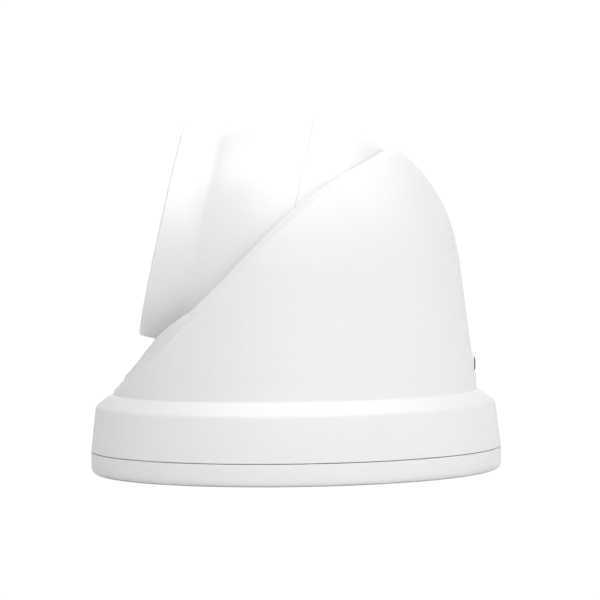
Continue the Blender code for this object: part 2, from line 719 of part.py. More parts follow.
def hole_in(plate, name, radius, angle, circle, segments=12):
    spot = (*along(math.radians(angle), circle), 0.0)
    hole = disc(name, radius, 20 * MM, 60 * MM, None, segments, location=spot,
                rotation=HOLE_TURN, parent=FACE_AXIS)
    cut(plate, hole)


def face():
    disc("front_window", 33.2 * MM, 40.6 * MM, 41.6 * MM, "lens_glass", BALL_SEGMENTS,
         parent=FACE_AXIS)
    plate = ring("front_plate", 10.5 * MM, 33.2 * MM, 38.3 * MM, 40.3 * MM, "black_plastic",
                 BALL_SEGMENTS, parent=FACE_AXIS)
    board = ring("led_board", 10.3 * MM, 31.0 * MM, 31.5 * MM, 33.1 * MM, "circuit_board",
                 MIDDLE_SEGMENTS, parent=FACE_AXIS)
    for i, led in enumerate(("infrared_led_1", "spot_led_1", "infrared_led_2", "spot_led_2")):
        hole_in(plate, f"led_window_{i + 1}", 3.0 * MM, 90 * i + 45, LED_CIRCLE)
        spot = (*along(math.radians(90 * i + 45), LED_CIRCLE), 0.0)
        dome = [
            (0.0, 37.6 * MM),
            (1.6 * MM, 37.0 * MM),
            (2.5 * MM, 35.4 * MM),
            (2.5 * MM, 33.4 * MM),
            (0.0, 33.4 * MM),
        ]
        turned(led, dome, "led_epoxy", SCREW_SEGMENTS, location=spot, parent=FACE_AXIS)
    hole_in(plate, "microphone_port", 0.8 * MM, -90, 26.5 * MM, 8)
    spot = (0.0, -26.5 * MM, 0.0)
    disc("microphone", 2.2 * MM, 33.4 * MM, 37.6 * MM, "aluminium", SCREW_SEGMENTS, location=spot,
         parent=FACE_AXIS)
    ring("light_baffle", 9.9 * MM, 13.5 * MM, 33.4 * MM, 38.0 * MM, "foam", parent=FACE_AXIS)


def optics():
    barrel = [
        (7.9 * MM, 39.6 * MM),
        (9.5 * MM, 39.6 * MM),
        (9.5 * MM, 25.0 * MM),
        (7.0 * MM, 25.0 * MM),
        (7.0 * MM, 10.7 * MM),
        (3.2 * MM, 10.7 * MM),
        (5.6 * MM, 14.5 * MM),
        (5.6 * MM, 33.0 * MM),
        (7.9 * MM, 34.5 * MM),
    ]
    turned("lens_barrel", barrel, "black_plastic", closed=True, parent=FACE_AXIS)
    front_lens = [
        (0.0, 39.9 * MM),
        (3.2 * MM, 39.4 * MM),
        (5.8 * MM, 38.1 * MM),
        (7.6 * MM, 36.0 * MM),
        (7.6 * MM, 34.9 * MM),
        (0.0, 34.9 * MM),
    ]
    turned("front_lens", front_lens, "lens_glass", parent=FACE_AXIS)
    rear_lens = [
        (0.0, 18.4 * MM),
        (3.4 * MM, 18.0 * MM),
        (5.3 * MM, 17.0 * MM),
        (5.3 * MM, 15.2 * MM),
        (0.0, 15.2 * MM),
    ]
    turned("rear_lens", rear_lens, "lens_glass", parent=FACE_AXIS)
    holder = [
        (7.3 * MM, 20.0 * MM),
        (10.0 * MM, 20.0 * MM),
        (10.0 * MM, 11.0 * MM),
        (13.0 * MM, 11.0 * MM),
        (13.0 * MM, 8.9 * MM),
        (7.3 * MM, 8.9 * MM),
    ]
    turned("lens_holder", holder, "black_plastic", closed=True, parent=FACE_AXIS)
    frame = box("filter_frame", (34 * MM, 16 * MM, 3.6 * MM), (0.0, 0.0, 6.8 * MM),
                "black_plastic", parent=FACE_AXIS)
    slot = box("filter_slot", (40 * MM, 10.6 * MM, 1.4 * MM), (0.0, 0.0, 6.9 * MM), None,
               parent=FACE_AXIS)
    cut(frame, slot)
    light_hole = disc("light_hole", 3.6 * MM, 0.0, 20 * MM, None, SMALL_SEGMENTS,
                      parent=FACE_AXIS)
    cut(frame, light_hole)
    box("ir_cut_filter", (15 * MM, 10 * MM, 0.8 * MM), (-3.0 * MM, 0.0, 6.9 * MM), "lens_glass",
        parent=FACE_AXIS)
    box("image_sensor", (8 * MM, 6.5 * MM, 1.2 * MM), (0.0, 0.0, 3.6 * MM), "black_plastic",
        parent=FACE_AXIS)
    box("sensor_board", (36 * MM, 36 * MM, 1.6 * MM), (0.0, 0.0, 1.9 * MM), "circuit_board",
        parent=FACE_AXIS)
    ring("inner_frame", 27.6 * MM, 29.4 * MM, 1.1 * MM, 31.2 * MM, "nylon", MIDDLE_SEGMENTS,
         parent=FACE_AXIS)
    ring("board_carrier", 12.0 * MM, 40.8 * MM, -1.2 * MM, 0.8 * MM, "aluminium", MIDDLE_SEGMENTS,
         parent=FACE_AXIS)


def electronics():
    disc("main_board", 36 * MM, -9.6 * MM, -8.0 * MM, "circuit_board", MIDDLE_SEGMENTS,
         parent=BALL_AXIS)
    box("processor", (14 * MM, 14 * MM, 1.2 * MM), (0.0, 0.0, -10.5 * MM), "black_plastic",
        parent=BALL_AXIS)
    sink = box("heat_sink", (26 * MM, 26 * MM, 7.0 * MM), (0.0, 0.0, -14.9 * MM), "aluminium",
               parent=BALL_AXIS)
    for i in range(4):
        gap = box(f"fin_gap_{i + 1}", (3.2 * MM, 30 * MM, 6.0 * MM),
                  ((i - 1.5) * 5.6 * MM, 0.0, -16.4 * MM), None, parent=BALL_AXIS)
        cut(sink, gap)
    for i in range(3):
        spot = (*along(math.radians(30 + 120 * i), 32 * MM), 0.0)
        disc(f"board_standoff_{i + 1}", 2.5 * MM, -7.7 * MM, -1.5 * MM, "brass", 6,
             location=spot, parent=BALL_AXIS)
    spot = (0.0, -30 * MM, 0.0)
    box("reset_switch", (6 * MM, 6 * MM, 3.4 * MM), (0.0, -30 * MM, -11.6 * MM), "black_plastic",
        parent=BALL_AXIS)
    disc("reset_button", 1.7 * MM, -15.5 * MM, -13.9 * MM, "nylon", SCREW_SEGMENTS, location=spot,
         parent=BALL_AXIS)


clear_scene()
PARTS = new_collection("turret_security_camera")
CUTTERS = new_collection("cutters")
PAN_AXIS = empty("pan_axis", (0.0, 0.0, 0.0))
TILT_AXIS = empty("tilt_axis", BALL_CENTRE, (math.pi / 2 - REST_TILT, 0.0, 0.0), PAN_AXIS)
BALL_AXIS = empty("ball_axis", (0.0, 0.0, 0.0), parent=TILT_AXIS)
FACE_AXIS = empty("face_axis", (0.0, -NECK_DROP, 0.0), parent=BALL_AXIS)

mounting_base()
base_fittings()
hood_shell()
collar()
chassis()
pivots()
speaker()
pan_lock()
tilt_yoke()
ball_shells()
face()
optics()
electronics()
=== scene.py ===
"""Looks of a turret security camera: smooth moulded skins, optics and finishes on a fixed frame.

Metres, +Z up. The base stands on Z = 0, and the lens looks towards -Y.
"""

import json
import math

import bpy
import numpy as np
from bpy.props import FloatProperty, FloatVectorProperty, IntProperty, PointerProperty
from bpy.types import Operator, Panel, PropertyGroup
from mathutils import Matrix, Vector


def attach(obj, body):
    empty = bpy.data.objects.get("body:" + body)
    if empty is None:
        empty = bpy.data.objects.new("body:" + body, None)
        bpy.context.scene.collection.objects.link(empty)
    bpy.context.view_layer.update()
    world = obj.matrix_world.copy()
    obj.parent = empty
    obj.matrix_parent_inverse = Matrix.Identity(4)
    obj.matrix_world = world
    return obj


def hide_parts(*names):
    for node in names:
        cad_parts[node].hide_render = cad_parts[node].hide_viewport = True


bl_info = {
    "name": "Turret security camera",
    "version": (1, 0, 0),
    "blender": (4, 5, 0),
    "location": "3D view > Sidebar > Turret camera",
    "description": "Makes the skins, optics, finishes and stage of a turret security camera",
    "category": "Object",
}

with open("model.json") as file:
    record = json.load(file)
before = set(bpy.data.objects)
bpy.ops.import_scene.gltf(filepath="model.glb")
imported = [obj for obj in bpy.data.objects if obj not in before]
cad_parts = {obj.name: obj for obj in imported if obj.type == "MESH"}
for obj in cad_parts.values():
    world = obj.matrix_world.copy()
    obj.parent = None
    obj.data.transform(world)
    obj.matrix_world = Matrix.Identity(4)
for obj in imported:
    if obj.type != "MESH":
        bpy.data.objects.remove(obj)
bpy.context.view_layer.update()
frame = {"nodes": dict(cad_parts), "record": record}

MM = 0.001
TAU = 2 * math.pi

# Sizes shared with the frame, in metres
BASE_RADIUS = 69.15 * MM
SEAM_Z = 7.5 * MM
SKIRT_TOP_RADIUS = 67.37 * MM
HOOD_FOOT_RADIUS = 61.25 * MM
HOOD_FOOT_Z = 26.5 * MM
HOOD_WALL = 2.6 * MM
HOOD_DRAFT = math.radians(6.9)
DOME_RADIUS = 53.6 * MM
DOME_CENTRE_RADIUS = 2.3 * MM
DOME_CENTRE_Z = 65.83 * MM
RIM_FRONT_Y = -61.9 * MM
RIM_FRONT_Z = 25.3 * MM
RIM_BEND_START_Y = -9.0 * MM
RIM_BEND_END_Y = 22.0 * MM
RIM_LOW_SLOPE = math.radians(44.4)
RIM_HIGH_SLOPE = math.radians(28.0)
RIM_BEVEL_RISE = 2.4 * MM
RIM_BEVEL_INSET = 1.6 * MM
RIM_FRONT_DIP = 1.0 * MM
SEAM_GAP_ABOVE = 0.13 * MM
SEAM_GAP_BELOW = 0.1 * MM
SKIRT_TOP_Z = 22.68 * MM
COLLAR_RISE = 6.3 * MM
COLLAR_THICKNESS = 1.8 * MM
LIP_RISE = 4.0 * MM
LIP_FRONT_DIP = 1.6 * MM
BALL_RADIUS = 47.5 * MM
BALL_WALL = 2.5 * MM
BALL_CENTRE = np.array((0.0, -2.83 * MM, 73.82 * MM))
REST_TILT = math.radians(13.2)
TILT_RANGE = math.radians(65.0)
BALL_SEAM = 0.02 * MM
BALL_SEAM_EDGE = 0.22 * MM
FACE_RADIUS = 36.7 * MM
FACE_ROLL = 0.8 * MM
FACE_PLANE = 41.9 * MM
NECK_DROP = 1.5 * MM
NECK_FOOT = 26.0 * MM
NECK_TOP = FACE_PLANE - FACE_ROLL
NECK_BLEND_END = 34.0 * MM
WINDOW_RADIUS = 33.2 * MM
WINDOW_TOP = 41.6 * MM
PANEL_TOP = 40.3 * MM
PANEL_BORE = 10.5 * MM
LENS_TOP = 39.9 * MM
LENS_RADIUS = 7.6 * MM
BARREL_RADIUS = 9.5 * MM
LED_RADIUS = 2.5 * MM
SHAFT_RADIUS = 4.2 * MM
SHAFT_BORE = 2.4 * MM
SHAFT_END = 54.5 * MM
SPEAKER_Z = 77.2 * MM
LOCK_SCREW_SPOT = (0.0, 0.0, 34.9 * MM)
LED_CIRCLE = 21.0 * MM
WALL_SCREW_CIRCLE = 45.0 * MM
RETAINER_SCREW_CIRCLE = 16.5 * MM
MARK_ANGLE = math.radians(56.0)
MARK_HALF_WIDTH = 4.1 * MM
MARK_HEIGHT = 3.4 * MM

# How far forward a direction points, where the front and the very front of the rim begin and end
FRONT_SHARE = (0.45, 0.8)
NOSE_SHARE = (0.82, 0.98)


# Settings

def length_property(name, description, default):
    return FloatProperty(
        name=name, description=description, default=default, unit="LENGTH", precision=6)


def colour_property(name, description, grey):
    return FloatVectorProperty(
        name=name, description=description, default=grey, subtype="COLOR", min=0.0, max=1.0)


def radiance_property(name, description, default):
    return FloatProperty(name=name, description=description, default=default, min=0.0)


class SkinSettings(PropertyGroup):
    around: IntProperty(
        name="Columns", description="Columns of faces round a large skin", default=360, min=48)
    edge_round: length_property("Edge round", "Rounding of the rim's two edges", 0.4 * MM)
    skirt_round: length_property("Skirt round", "Rounding between the skirt and its chamfer", 0.9 * MM)
    foot_round: length_property("Foot round", "Fillet where the hood's wall meets the chamfer", 0.9 * MM)
    rim_hollow: length_property("Rim hollow", "How far the bevel is hollowed at the rim's front", 0.2 * MM)
    front_round: length_property("Front round", "Extra rounding of the rim's edges at its front", 1.2 * MM)
    grille_hole: length_property("Grille hole", "Radius of one speaker hole", 0.55 * MM)


class FinishSettings(PropertyGroup):
    white: colour_property("Grained white", "Colour of the hood and base", (0.86, 0.86, 0.86))
    satin_white: colour_property("Satin white", "Colour of the ball", (0.88, 0.88, 0.88))
    black: colour_property("Black", "Colour of small black fittings", (0.014, 0.014, 0.016))
    grain_size: length_property("Grain size", "Width of one pit of the moulded grain", 0.6 * MM)
    grain_depth: length_property("Grain depth", "Depth of the moulded grain", 0.08 * MM)


class StageSettings(PropertyGroup):
    top: radiance_property("Top light", "Radiance of the wide light overhead", 1.1)
    over_face: radiance_property("Light over the face", "Radiance of the high light on the lens's side", 3.1)
    over_back: radiance_property("Light over the back", "Radiance of the high light behind the hood", 3.3)
    over_side: radiance_property("Light over the side", "Radiance of the high light beside the hood", 3.0)
    side: radiance_property("Side light", "Radiance of the light beside the view", 2.6)
    far: radiance_property("Far light", "Radiance of the light on the other side", 1.7)
    glow: radiance_property("Floor glow", "Radiance of the floor at a low angle of view", 1.15)
    room: FloatVectorProperty(
        name="Room", description="Radiance at eye level towards +X, -X, +Y and -Y",
        default=(0.6, 1.34, 1.75, 0.45), size=4, min=0.0)


# Surfaces

def rounded(profile, rounds, steps=6):
    """Polygon corners P replaced by the curve (1-t)^2 A + 2t(1-t) P + t^2 B, with A and B a
    little way along the two sides. The first and last points stay."""
    profile = np.asarray(profile, float)
    t = np.linspace(0.0, 1.0, steps)[:, None]
    parts = [profile[:1]]
    for before, corner, after, size in zip(profile[:-2], profile[1:-1], profile[2:], rounds):
        back, on = before - corner, after - corner
        far_back, far_on = np.hypot(*back), np.hypot(*on)
        reach = min(size, 0.48 * far_back, 0.48 * far_on)
        start, end = corner + back * reach / far_back, corner + on * reach / far_on
        parts.append((1 - t) ** 2 * start + 2 * t * (1 - t) * corner + t ** 2 * end)
    parts.append(profile[-1:])
    return np.concatenate(parts)


def rounded_ring(corners, rounds, steps=7):
    """The same for a closed section, with one round for all corners or one for each."""
    corners = np.asarray(corners, float)
    wrapped = np.concatenate([corners[-1:], corners, corners[:1]])
    return rounded(wrapped, np.broadcast_to(rounds, len(corners)), steps)[1:-1]


def turn(section, around):
    """x = r cos a, y = r sin a, z = h for each (r, h) of the section and each angle a."""
    angle = np.arange(around) * TAU / around
    radius, height = np.asarray(section, float).T
    return np.stack([
        np.outer(radius, np.cos(angle)),
        np.outer(radius, np.sin(angle)),
        np.outer(height, np.ones(around)),
    ], axis=-1)


def skin(name, rows, ring=False):
    """Mesh of a grid of points: rows run down the outside, columns run round and close. A row
    that lies at one point becomes a pole, and ring joins the last row to the first."""
    count, around, _ = rows.shape
    index = np.arange(count * around).reshape(count, around)
    poles = np.ptp(rows, axis=1).max(axis=1) < 1e-9
    index[poles] = index[poles][:, :1]
    here = index if ring else index[:-1]
    below = np.roll(index, -1, axis=0) if ring else index[1:]
    quads = np.stack([here, below, np.roll(below, -1, axis=1), np.roll(here, -1, axis=1)], axis=-1)
    quads = quads.reshape(-1, 4)
    top_pole = quads[:, 0] == quads[:, 3]
    low_pole = quads[:, 1] == quads[:, 2]
    faces = quads[~(top_pole | low_pole)].tolist()
    faces += quads[top_pole][:, :3].tolist() + quads[low_pole][:, [0, 1, 3]].tolist()
    mesh = bpy.data.meshes.new(name)
    used, packed = np.unique(index, return_inverse=True)
    packed = packed.reshape(-1)
    mesh.from_pydata(rows.reshape(-1, 3)[used], [], [[packed[i] for i in f] for f in faces])
    return mesh


def placed(rows, turn_by=None, move_by=(0.0, 0.0, 0.0)):
    """rows turned by a 3x3 matrix, then moved."""
    if turn_by is not None:
        rows = rows @ np.asarray(turn_by).T
    return rows + np.asarray(move_by)


def about(axis, angle):
    return np.array(Matrix.Rotation(angle, 3, axis))


BALL_TURN = about("X", math.pi / 2 - REST_TILT)
BACK_TURN = about("X", -math.pi / 2)
FACE_CENTRE = BALL_CENTRE - NECK_DROP * BALL_TURN[:, 1]
SHARP_ANGLE = math.radians(32.0)


def piece(name, data):
    made = bpy.data.objects.new(name, data)
    bpy.context.scene.collection.objects.link(made)
    return made


def shape(name, rows, ring=False):
    """The piece whose surface is the skin of these rows."""
    return piece(name, skin(name, rows, ring))


def combined(thing, mesh, operation):
    """thing with a second closed mesh taken away, added or kept in common, as a plain mesh."""
    other = piece("cutter", mesh)
    step = thing.modifiers.new("cut", "BOOLEAN")
    step.operation, step.object, step.solver = operation, other, "MANIFOLD"
    bpy.context.view_layer.update()
    graph = bpy.context.evaluated_depsgraph_get()
    result = bpy.data.meshes.new_from_object(thing.evaluated_get(graph))
    thing.modifiers.clear()
    thing.data = result
    bpy.data.objects.remove(other)
    if not result.polygons:
        raise RuntimeError(f"{thing.name}: the cut left nothing")


def cut(thing, rows):
    combined(thing, skin("cutter", rows), "DIFFERENCE")


def joined(thing, rows, ring=False):
    combined(thing, skin("joined", rows, ring), "UNION")


def settle(thing, body, finish, node):
    """Smooth shading, finish and body for the piece, and hides the frame node that it stands for."""
    thing.data.shade_smooth()
    thing.data.set_sharp_from_angle(angle=SHARP_ANGLE)
    thing.data.materials.clear()
    thing.data.materials.append(FINISHES[finish])
    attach(thing, body)
    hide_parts(node)


def spot_on(circle, degrees):
    """The point at an angle on a circle round the origin."""
    return circle * np.array([math.cos(math.radians(degrees)), math.sin(math.radians(degrees)), 0.0])


def cylinder(radius, low, high, around=48):
    return turn([(0.0, high), (radius, high), (radius, low), (0.0, low)], around)


def block(size, centre):
    """The eight corners of a box as two rows of four and a pole above and below."""
    half = np.array([(1, -1), (1, 1), (-1, 1), (-1, -1)]) / 2
    ring = half * np.asarray(size)[:2]
    rows = np.zeros((4, 4, 3))
    rows[:, :, 2] = np.array([1, 1, -1, -1])[:, None] * size[2] / 2
    rows[1:3, :, :2] = ring
    return rows + np.asarray(centre)


def prisms(name, centres, radius, sides, low, high, turn_by, move_by):
    """One mesh of equal prisms: each has its corners at centre + radius (cos a, sin a)."""
    angle = (np.arange(sides) + 0.5) * TAU / sides
    ring = np.stack([np.cos(angle), np.sin(angle)], axis=-1) * radius
    flat = centres[:, None, None, :] + ring[None, None]
    points = np.empty((len(centres), 2, sides, 3))
    points[..., :2] = flat
    points[:, 0, :, 2], points[:, 1, :, 2] = high, low
    points = placed(points.reshape(-1, 3), turn_by, move_by)
    top = np.arange(sides)
    low_ring = top + sides
    faces = [top.tolist(), low_ring[::-1].tolist()]
    faces += np.stack([top, low_ring, np.roll(low_ring, -1), np.roll(top, -1)], axis=-1).tolist()
    every = [[v + 2 * sides * i for v in face] for i in range(len(centres)) for face in faces]
    mesh = bpy.data.meshes.new(name)
    mesh.from_pydata(points, [], every)
    return mesh


# The hood's form

def hood_outer(height, inside=0.0):
    """Radius of a cone drafted by 6.9 degrees, then of a circular arc tangent to it, both
    moved inwards by the distance inside."""
    radius = DOME_RADIUS - inside
    start = DOME_CENTRE_Z + radius * math.sin(HOOD_DRAFT)
    cone = HOOD_FOOT_RADIUS - (height - HOOD_FOOT_Z) * math.tan(HOOD_DRAFT)
    cone = cone - inside / math.cos(HOOD_DRAFT)
    crown = np.sqrt(np.maximum(radius ** 2 - (height - DOME_CENTRE_Z) ** 2, 0.0))
    return np.where(height <= start, cone, DOME_CENTRE_RADIUS + crown)


def hood_inner(height):
    return hood_outer(height, HOOD_WALL)


def rim_slope(y):
    """Slope whose sine eases evenly from the low slope to the high one across the bend."""
    bend = np.clip((y - RIM_BEND_START_Y) / (RIM_BEND_END_Y - RIM_BEND_START_Y), 0.0, 1.0)
    low, high = math.sin(RIM_LOW_SLOPE), math.sin(RIM_HIGH_SLOPE)
    return np.arcsin(low + bend * (high - low))


def rim_height(y):
    """Side outline of the rim: a straight slope, an arc that eases it, and a flatter slope."""
    start_z = RIM_FRONT_Z + (RIM_BEND_START_Y - RIM_FRONT_Y) * math.tan(RIM_LOW_SLOPE)
    straight = start_z + (y - RIM_BEND_START_Y) * math.tan(RIM_LOW_SLOPE)
    bend_radius = (RIM_BEND_END_Y - RIM_BEND_START_Y) / (
        math.sin(RIM_LOW_SLOPE) - math.sin(RIM_HIGH_SLOPE))
    eased = bend_radius * (np.cos(rim_slope(y)) - math.cos(RIM_LOW_SLOPE))
    past = np.maximum(y - RIM_BEND_END_Y, 0.0) * math.tan(RIM_HIGH_SLOPE)
    return np.where(y <= RIM_BEND_START_Y, straight, start_z + eased + past)


def turning_height(low, high, under):
    """Height between low and high at which under stops being true, by halving, for every
    direction at once."""
    for _ in range(50):
        middle = (low + high) / 2
        below = under(middle)
        low, high = np.where(below, middle, low), np.where(below, high, middle)
    return low


def rim_meets(wall, side, rise):
    """Height at which a wall meets the rim raised by rise, in each direction."""
    def under(height):
        y = wall(height) * side
        return height < rim_height(y) + rise / np.cos(rim_slope(y))

    return turning_height(np.full(side.shape, HOOD_FOOT_Z - 3.0 * MM), DOME_CENTRE_Z + 44.0 * MM, under)


def on_wall(wall, height, inset=0.0):
    """(radius, height) on a wall, moved towards the axis by inset."""
    return np.stack([wall(height) - inset, height], axis=-1)


def smooth_share(value, start, end):
    """Smooth step 3t^2 - 2t^3 between start and end."""
    t = np.clip((value - start) / (end - start), 0.0, 1.0)
    return t * t * (3 - 2 * t)


def corner_rows(before, corner, after, size, steps):
    """Rows (1-t)^2 A + 2t(1-t) P + t^2 B round a corner P that changes from column to column."""
    back, on = before - corner, after - corner
    far_back = np.linalg.norm(back, axis=-1, keepdims=True)
    far_on = np.linalg.norm(on, axis=-1, keepdims=True)
    start = corner + back / far_back * np.minimum(size, 0.45 * far_back)
    end = corner + on / far_on * np.minimum(size, 0.45 * far_on)
    t = np.linspace(0.0, 1.0, steps)[:, None, None]
    return (1 - t) ** 2 * start + 2 * t * (1 - t) * corner + t ** 2 * end


def hood_rows(settings):
    """Closed section of the hood in each direction: rim edge, outer wall, chamfer, skirt, and
    back up inside to the bevel. Its wall height follows the rim, so the section changes round it."""
    around = settings.around
    angle = np.arange(around) * TAU / around
    side = np.sin(angle)
    foot = HOOD_FOOT_Z + 0.8 * MM
    ease = 0.6 * MM
    top = rim_meets(hood_outer, side, 0.0)
    top = (top + foot + ease + np.sqrt((top - foot - ease) ** 2 + ease ** 2)) / 2
    inset = RIM_BEVEL_INSET * (1 - smooth_share(-side, *FRONT_SHARE))
    inset = inset * (1 - smooth_share(side, -0.1, 0.25))
    rise = RIM_BEVEL_RISE - RIM_FRONT_DIP * smooth_share(-side, *NOSE_SHARE)
    inner_top = rim_meets(hood_inner, side, rise)
    outer_edge = on_wall(hood_outer, top)
    inner_edge = on_wall(hood_inner, inner_top, inset)

    def wall_rows(wall, high, low, rows, end):
        share = np.linspace(0.0, 1.0, rows, endpoint=end)[:, None]
        return on_wall(wall, high + (low - high) * share)

    under_edge = on_wall(hood_outer, top - MM)
    under_inner = on_wall(hood_inner, inner_top - MM, inset)
    step_foot = inner_top - 2.4 * MM
    step = on_wall(hood_inner, step_foot)[None]
    frontness = np.clip(1.0 - (top - foot) / (14 * MM), 0.0, 1.0)[:, None] ** 2
    edge = settings.edge_round + settings.front_round * frontness
    outer_round = corner_rows(inner_edge, outer_edge, under_edge, edge, 5)
    inner_round = corner_rows(under_inner, inner_edge, outer_edge, edge, 5)
    outer = wall_rows(hood_outer, outer_round[-1, :, 1] - 0.05 * MM, foot, 48, False)
    inner_foot = HOOD_FOOT_Z - 1.2 * MM
    inner = wall_rows(hood_inner, inner_foot, step_foot - 0.05 * MM, 30, True)
    low = rounded([
        (float(hood_outer(foot)), foot),
        (HOOD_FOOT_RADIUS + 0.02 * MM, HOOD_FOOT_Z + 0.12 * MM),
        (HOOD_FOOT_RADIUS + 1.4 * MM, HOOD_FOOT_Z - 0.4 * MM),
        (SKIRT_TOP_RADIUS - 0.02 * MM, SKIRT_TOP_Z),
        (BASE_RADIUS, SEAM_Z + SEAM_GAP_ABOVE),
        (BASE_RADIUS - HOOD_WALL, SEAM_Z + SEAM_GAP_ABOVE),
        (SKIRT_TOP_RADIUS - HOOD_WALL, 20.6 * MM),
        (float(hood_inner(inner_foot)) + 0.3 * MM, inner_foot - 1.2 * MM),
        (float(hood_inner(inner_foot)), inner_foot - 0.1 * MM),
    ], [settings.foot_round, settings.foot_round, settings.skirt_round, 0.3 * MM, 0.3 * MM,
        0.6 * MM, 0.4 * MM])
    low = np.repeat(low[:, None], around, axis=1)
    front = frontness[:, 0] * settings.rim_hollow
    t = np.linspace(0.0, 1.0, 8)[1:-1, None, None]
    start, end = inner_round[-1], outer_round[0]
    run = end - start
    across = np.stack([-run[:, 1], run[:, 0]], axis=-1)
    across = across / np.linalg.norm(across, axis=-1, keepdims=True)
    bevel = start + run * t - across * front[:, None] * 4 * t * (1 - t)
    section = np.concatenate([outer_round, outer, low, inner, step, inner_round, bevel])
    radius, height = section[..., 0], section[..., 1]
    return np.stack([radius * np.cos(angle), radius * np.sin(angle), height], axis=-1)


def collar_lip():
    """Low wall inside the front of the rim, 1.2 mm thick. Its crest stands up to 10.3 mm above
    the ball's middle, square to the rim's slope, and sinks into the collar towards the sides."""
    angle = np.linspace(-math.pi, math.pi, 96, endpoint=False)
    forward = np.cos(angle)
    front = smooth_share(forward, *FRONT_SHARE)
    crest = COLLAR_RISE + LIP_RISE * front - LIP_FRONT_DIP * smooth_share(forward, *NOSE_SHARE)
    gap = 0.3 * MM + RIM_BEVEL_INSET * (1 - front)
    edge, thickness = 0.3 * MM, 1.2 * MM
    foot = np.full(angle.shape, COLLAR_RISE - 0.5 * MM)
    section = ((0.0, foot), (0.0, crest - edge), (edge, crest), (thickness - edge, crest),
               (thickness, crest - edge), (thickness, foot))
    rows = [rim_wall_point(angle, gap + inset, height) for inset, height in section]
    return np.stack(rows[::-1])


def rim_wall_point(angle, inset, rise):
    """Point inside the hood's wall, in the direction angle from -Y, at a distance rise from the
    plane through the ball's centre that follows the rim's low slope."""
    def under(height):
        y = -(hood_inner(height) - inset) * np.cos(angle)
        above = (height - BALL_CENTRE[2]) * math.cos(RIM_LOW_SLOPE)
        return above - (y - BALL_CENTRE[1]) * math.sin(RIM_LOW_SLOPE) < rise

    low = np.full(angle.shape, HOOD_FOOT_Z - 3.0 * MM)
    height = turning_height(low, DOME_CENTRE_Z + 50.0 * MM, under)
    radius = hood_inner(height) - inset
    return np.stack([radius * np.sin(angle), -radius * np.cos(angle), height], axis=-1)


def lock_pad_rows(face, half_height, middle):
    """Rounded pad: a box whose corners follow |x|^n + |z|^n = 1, with its outer edge rolled over."""
    angle = np.arange(96) * TAU / 96
    power = 2.0 / 9.0
    shape = np.stack([
        np.sign(np.cos(angle)) * np.abs(np.cos(angle)) ** power * 5.0 * MM,
        np.sign(np.sin(angle)) * np.abs(np.sin(angle)) ** power * half_height,
    ], axis=-1)
    roll = np.linspace(0.0, math.pi / 2, 6)
    inset = 0.5 * MM * (1 - np.sin(roll))
    depth = face - 0.5 * MM * (1 - np.cos(roll))
    rows = np.zeros((len(roll) + 3, 96, 3))
    rows[0, :, 2] = face
    scale = 1.0 - inset[:, None, None] / half_height
    rows[1:-2, :, :2] = shape * scale
    rows[1:-2, :, 2] = depth[:, None]
    rows[-2, :, :2] = shape
    rows[-2:, :, 2] = 55.0 * MM
    return placed(rows, BACK_TURN, (0.0, 0.0, middle))


def grille_centres():
    """Five staggered rows of nine and ten holes."""
    pitch, row_pitch = 3.4 * MM, 3.1 * MM
    found = []
    for row in range(-2, 3):
        holes = 9 if row % 2 == 0 else 10
        across = (np.arange(holes) - (holes - 1) / 2) * pitch
        found.append(np.stack([across, np.full(holes, row * row_pitch)], axis=-1))
    return np.concatenate(found)


def base_rows(around):
    """Closed section of the base: wall, foot, seal groove, middle opening, hub and floor."""
    corners, rounds = zip(*[
        ((BASE_RADIUS - HOOD_WALL, SEAM_Z - SEAM_GAP_BELOW), 0.3 * MM),
        ((BASE_RADIUS, SEAM_Z - SEAM_GAP_BELOW), 0.2 * MM),
        ((BASE_RADIUS, 0.0), 2.6 * MM),
        ((63.3 * MM, 0.0), 0.2 * MM),
        ((63.3 * MM, 1.6 * MM), 0.1 * MM),
        ((59.3 * MM, 1.6 * MM), 0.1 * MM),
        ((59.3 * MM, 0.0), 0.2 * MM),
        ((14.0 * MM, 0.0), 0.3 * MM),
        ((14.0 * MM, 12.0 * MM), 0.3 * MM),
        ((19.0 * MM, 12.0 * MM), 0.4 * MM),
        ((19.0 * MM, 7.2 * MM), 0.3 * MM),
        ((31.0 * MM, 7.2 * MM), 0.4 * MM),
        ((31.0 * MM, 3.0 * MM), 0.4 * MM),
        ((BASE_RADIUS - HOOD_WALL, 3.0 * MM), 0.6 * MM),
    ])
    return turn(rounded_ring(corners, rounds), around)


def mark_mesh():
    """Wedge with a triangle's outline, point down, set square to the base's wall. At a height h
    over the wall the triangle stands h / 0.5 wider on each side, about its inscribed circle."""
    overrun, depth = 0.6 * MM, 0.35 * MM
    side = math.hypot(MARK_HALF_WIDTH, MARK_HEIGHT)
    inscribed = MARK_HALF_WIDTH * MARK_HEIGHT / (MARK_HALF_WIDTH + side)
    outward = np.array([-depth, depth])
    growth = 1.0 + outward / 0.5 / inscribed
    tip = SEAM_Z - inscribed - (MARK_HEIGHT - inscribed) * growth
    points = np.zeros((2, 3, 3))
    points[..., 0] = (BASE_RADIUS + outward)[:, None]
    points[:, 0, 2] = tip
    points[:, 1:, 2] = SEAM_Z + overrun
    reach = (SEAM_Z + overrun - tip) * MARK_HALF_WIDTH / MARK_HEIGHT
    points[:, 1, 1], points[:, 2, 1] = reach, -reach
    points = placed(points.reshape(-1, 3), about("Z", MARK_ANGLE))
    mesh = bpy.data.meshes.new("mark")
    mesh.from_pydata(points, [], [(2, 1, 0), (3, 4, 5), (0, 1, 4, 3), (1, 2, 5, 4), (2, 0, 3, 5)])
    return mesh


# The ball's form

